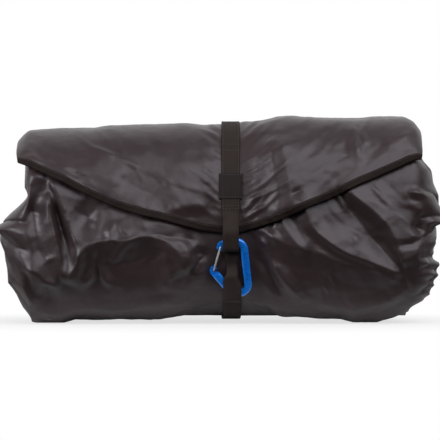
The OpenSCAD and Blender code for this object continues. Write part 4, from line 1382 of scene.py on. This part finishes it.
class HAMMOCK_OT_contents(bpy.types.Operator):
    """Make the rolled bed, the tree straps and the slings, and finish the carabiners"""
    bl_idname = "hammock.contents"
    bl_label = "Contents"

    def execute(self, context):
        cloth, webbing, metal, _ = settings()
        rolled_bed(nylon_look("bed_nylon", cloth.bed_colour, cloth.roughness))
        blue = metal_look("blue_anodised", metal.body_colour, roughness=0.3, spread=0.05, metallic=0.35,
                          coat=1.0)
        steel = metal_look("gate_steel", metal.wire_colour, roughness=0.36, spread=0.06, metallic=0.8,
                           coat=0.0)
        rounding = smooth_solid_tree()
        for spare in ("", "spare_"):
            for node, finish, slot in (("carabiner_body", blue, "blue_anodised"),
                                       ("carabiner_gate", steel, "steel_wire")):
                solid = frame["nodes"][spare + node]
                solid.data.materials.clear()
                solid.data.materials.append(finish)
                solid.modifiers.new("Smooth solid", "NODES").node_group = rounding
        strap = webbing_look("tree_webbing", webbing.colour, across=2.4, down=1.5, depth=0.25)
        cord = webbing_look("sling_cord", webbing.colour, across=1.3, down=1.6, depth=0.3)
        for side in ("left", "right"):
            wound_strap(side, strap)
            cord_sling(side, cord)
        return {"FINISHED"}


# Stage

# Half the width of the floor, and its height just under the pouch
FLOOR_HALF = 8.0
FLOOR_Z = -0.0004
# Lamps: name, place, size and the setting of its power
LAMPS = (
    ("overhead", (0.0, 0.2, 1.6), (1.8, 0.8), "top_power"),
    ("front", (0.9, -1.45, 1.35), (3.2, 1.3), "key_power"),
    ("left side", (-1.5, -0.9, 0.6), (0.8, 0.6), "side_power"),
)


def bare_tree(owner):
    """Empty node tree of a material or a world."""
    owner.use_nodes = True
    owner.node_tree.nodes.clear()
    return owner.node_tree


def maths(tree, operation, first, second):
    """Result of a Math node."""
    return add_node(tree, "ShaderNodeMath", operation=operation, in0=first, in1=second).outputs[0]


def mixed(tree, share, first, second):
    """Mix of two shader nodes."""
    return add_node(tree, "ShaderNodeMixShader", in0=share, in1=first.outputs[0], in2=second.outputs[0])


def reach_of(tree, place, stretch):
    """Distance from the origin, with each axis stretched."""
    pulled = add_node(tree, "ShaderNodeVectorMath", operation="MULTIPLY", in0=place, in1=stretch)
    return add_node(tree, "ShaderNodeVectorMath", operation="LENGTH", in0=pulled.outputs[0]).outputs["Value"]


def viewed(tree):
    """Outputs of a Light Path node, and 1 for the rays by which the camera sees the background."""
    rays = add_node(tree, "ShaderNodeLightPath").outputs
    return rays, maths(tree, "MAXIMUM", rays["Is Camera Ray"], rays["Is Transmission Ray"])


def floor_look():
    """Floor that shows soft shadows near the pouch and white further off, and throws back light under it."""
    look = bpy.data.materials.new("pale_floor")
    tree = bare_tree(look)
    _, seen = viewed(tree)
    pale = add_node(tree, "ShaderNodeBsdfDiffuse", Color=(0.9, 0.9, 0.9, 1))
    white = add_node(tree, "ShaderNodeEmission", Color=(1, 1, 1, 1), Strength=1.0)
    place = add_node(tree, "ShaderNodeTexCoord").outputs["Object"]
    fade = remap(tree, reach_of(tree, place, (1.0, 1.6, 0.0)), 0.2, 0.42, 0.7, 1.0)
    grey = remap(tree, reach_of(tree, place, (0.35, 1.6, 0.0)), 0.12, 0.18, 0.9, 0.02)
    plain = add_node(tree, "ShaderNodeBsdfDiffuse", Color=grey)
    both = mixed(tree, seen, plain, mixed(tree, fade, pale, white))
    add_node(tree, "ShaderNodeOutputMaterial", Surface=both.outputs[0])
    return look


def studio_world():
    """World that is white to the camera, and to reflections from the back, and dim to everything else."""
    world = bpy.data.worlds.new("studio")
    tree = bare_tree(world)
    rays, seen = viewed(tree)
    where = add_node(tree, "ShaderNodeTexCoord").outputs["Generated"]
    parts = add_node(tree, "ShaderNodeSeparateXYZ", Vector=where).outputs
    behind = remap(tree, parts[1], 0.0, 0.5, 0.0, 1.0)
    seen = maths(tree, "MAXIMUM", seen, maths(tree, "MULTIPLY", rays["Is Glossy Ray"], behind))
    level = remap(tree, parts[2], 0.2, 0.9, 0.02, 0.17)
    dim = add_node(tree, "ShaderNodeBackground", Color=(1, 1, 1, 1), Strength=level)
    white = add_node(tree, "ShaderNodeBackground", Color=(1, 1, 1, 1), Strength=1.0)
    add_node(tree, "ShaderNodeOutputWorld", Surface=mixed(tree, seen, dim, white).outputs[0])
    return world


def point_at(holder, place, aim):
    """Sets an object at a place, with its -Z axis towards a point."""
    way = (aim - place) / np.linalg.norm(aim - place)
    side = np.cross(way, [0, 0, 1.0])
    side /= np.linalg.norm(side)
    up = np.cross(side, way)
    holder.matrix_world = [[*side, 0], [*up, 0], [*-way, 0], [*place, 1]]


class HAMMOCK_OT_stage(bpy.types.Operator):
    """Make the floor, lamps, world and camera"""
    bl_idname = "hammock.stage"
    bl_label = "Stage"

    def execute(self, context):
        stage = settings()[3]
        scene = context.scene
        scene.view_settings.view_transform = "Standard"
        scene.world = studio_world()
        mesh = bpy.data.meshes.new("floor")
        corners = ((-1, -1), (1, -1), (1, 1), (-1, 1))
        mesh.from_pydata([(x * FLOOR_HALF, y * FLOOR_HALF, FLOOR_Z) for x, y in corners], [], [(0, 1, 2, 3)])
        mesh.materials.append(floor_look())
        floor = linked("floor", mesh)
        aim = np.array([0.0, PACK_Y * MM, stage.aim])
        for name, place, size, power in LAMPS:
            lamp = bpy.data.lights.new(name, "AREA")
            lamp.shape = "RECTANGLE"
            lamp.size, lamp.size_y = size
            lamp.energy = getattr(stage, power)
            holder = linked(name, lamp)
            point_at(holder, np.array(place), aim)
        camera = bpy.data.cameras.new("camera")
        camera.lens = camera.sensor_width * stage.distance / stage.width
        camera.clip_end = 50
        holder = linked("camera", camera)
        back = np.array([0.0, -math.cos(stage.elevation), math.sin(stage.elevation)])
        point_at(holder, aim + stage.distance * back, aim)
        scene.camera = holder
        return {"FINISHED"}


class HAMMOCK_PT_panel(bpy.types.Panel):
    """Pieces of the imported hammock"""
    bl_idname = "HAMMOCK_PT_panel"
    bl_label = "Packed Hammock"
    bl_space_type = "VIEW_3D"
    bl_region_type = "UI"
    bl_category = "Hammock"

    def draw(self, context):
        for group in settings():
            box = self.layout.box()
            for name in group.bl_rna.properties.keys():
                if name not in ("rna_type", "name"):
                    box.prop(group, name)
        for operator in OPERATORS:
            self.layout.operator(operator.bl_idname)


OPERATORS = (
    HAMMOCK_OT_pouch,
    HAMMOCK_OT_flap,
    HAMMOCK_OT_tapes,
    HAMMOCK_OT_straps,
    HAMMOCK_OT_stitches,
    HAMMOCK_OT_contents,
    HAMMOCK_OT_stage,
)
GROUPS = {
    "hammock_cloth": ClothSettings,
    "hammock_webbing": WebbingSettings,
    "hammock_metal": MetalSettings,
    "hammock_stage": StageSettings,
}


def register():
    for item in (*GROUPS.values(), *OPERATORS, HAMMOCK_PT_panel):
        bpy.utils.register_class(item)
    for name, group in GROUPS.items():
        setattr(bpy.types.Scene, name, bpy.props.PointerProperty(type=group))


def unregister():
    for name in GROUPS:
        delattr(bpy.types.Scene, name)
    for item in (HAMMOCK_PT_panel, *reversed(OPERATORS), *reversed(GROUPS.values())):
        bpy.utils.unregister_class(item)


def main():
    register()
    bpy.ops.hammock.pouch()
    bpy.ops.hammock.flap()
    bpy.ops.hammock.tapes()
    bpy.ops.hammock.straps()
    bpy.ops.hammock.stitches()
    bpy.ops.hammock.contents()
    bpy.ops.hammock.stage()


if __name__ == "__main__":
    main()
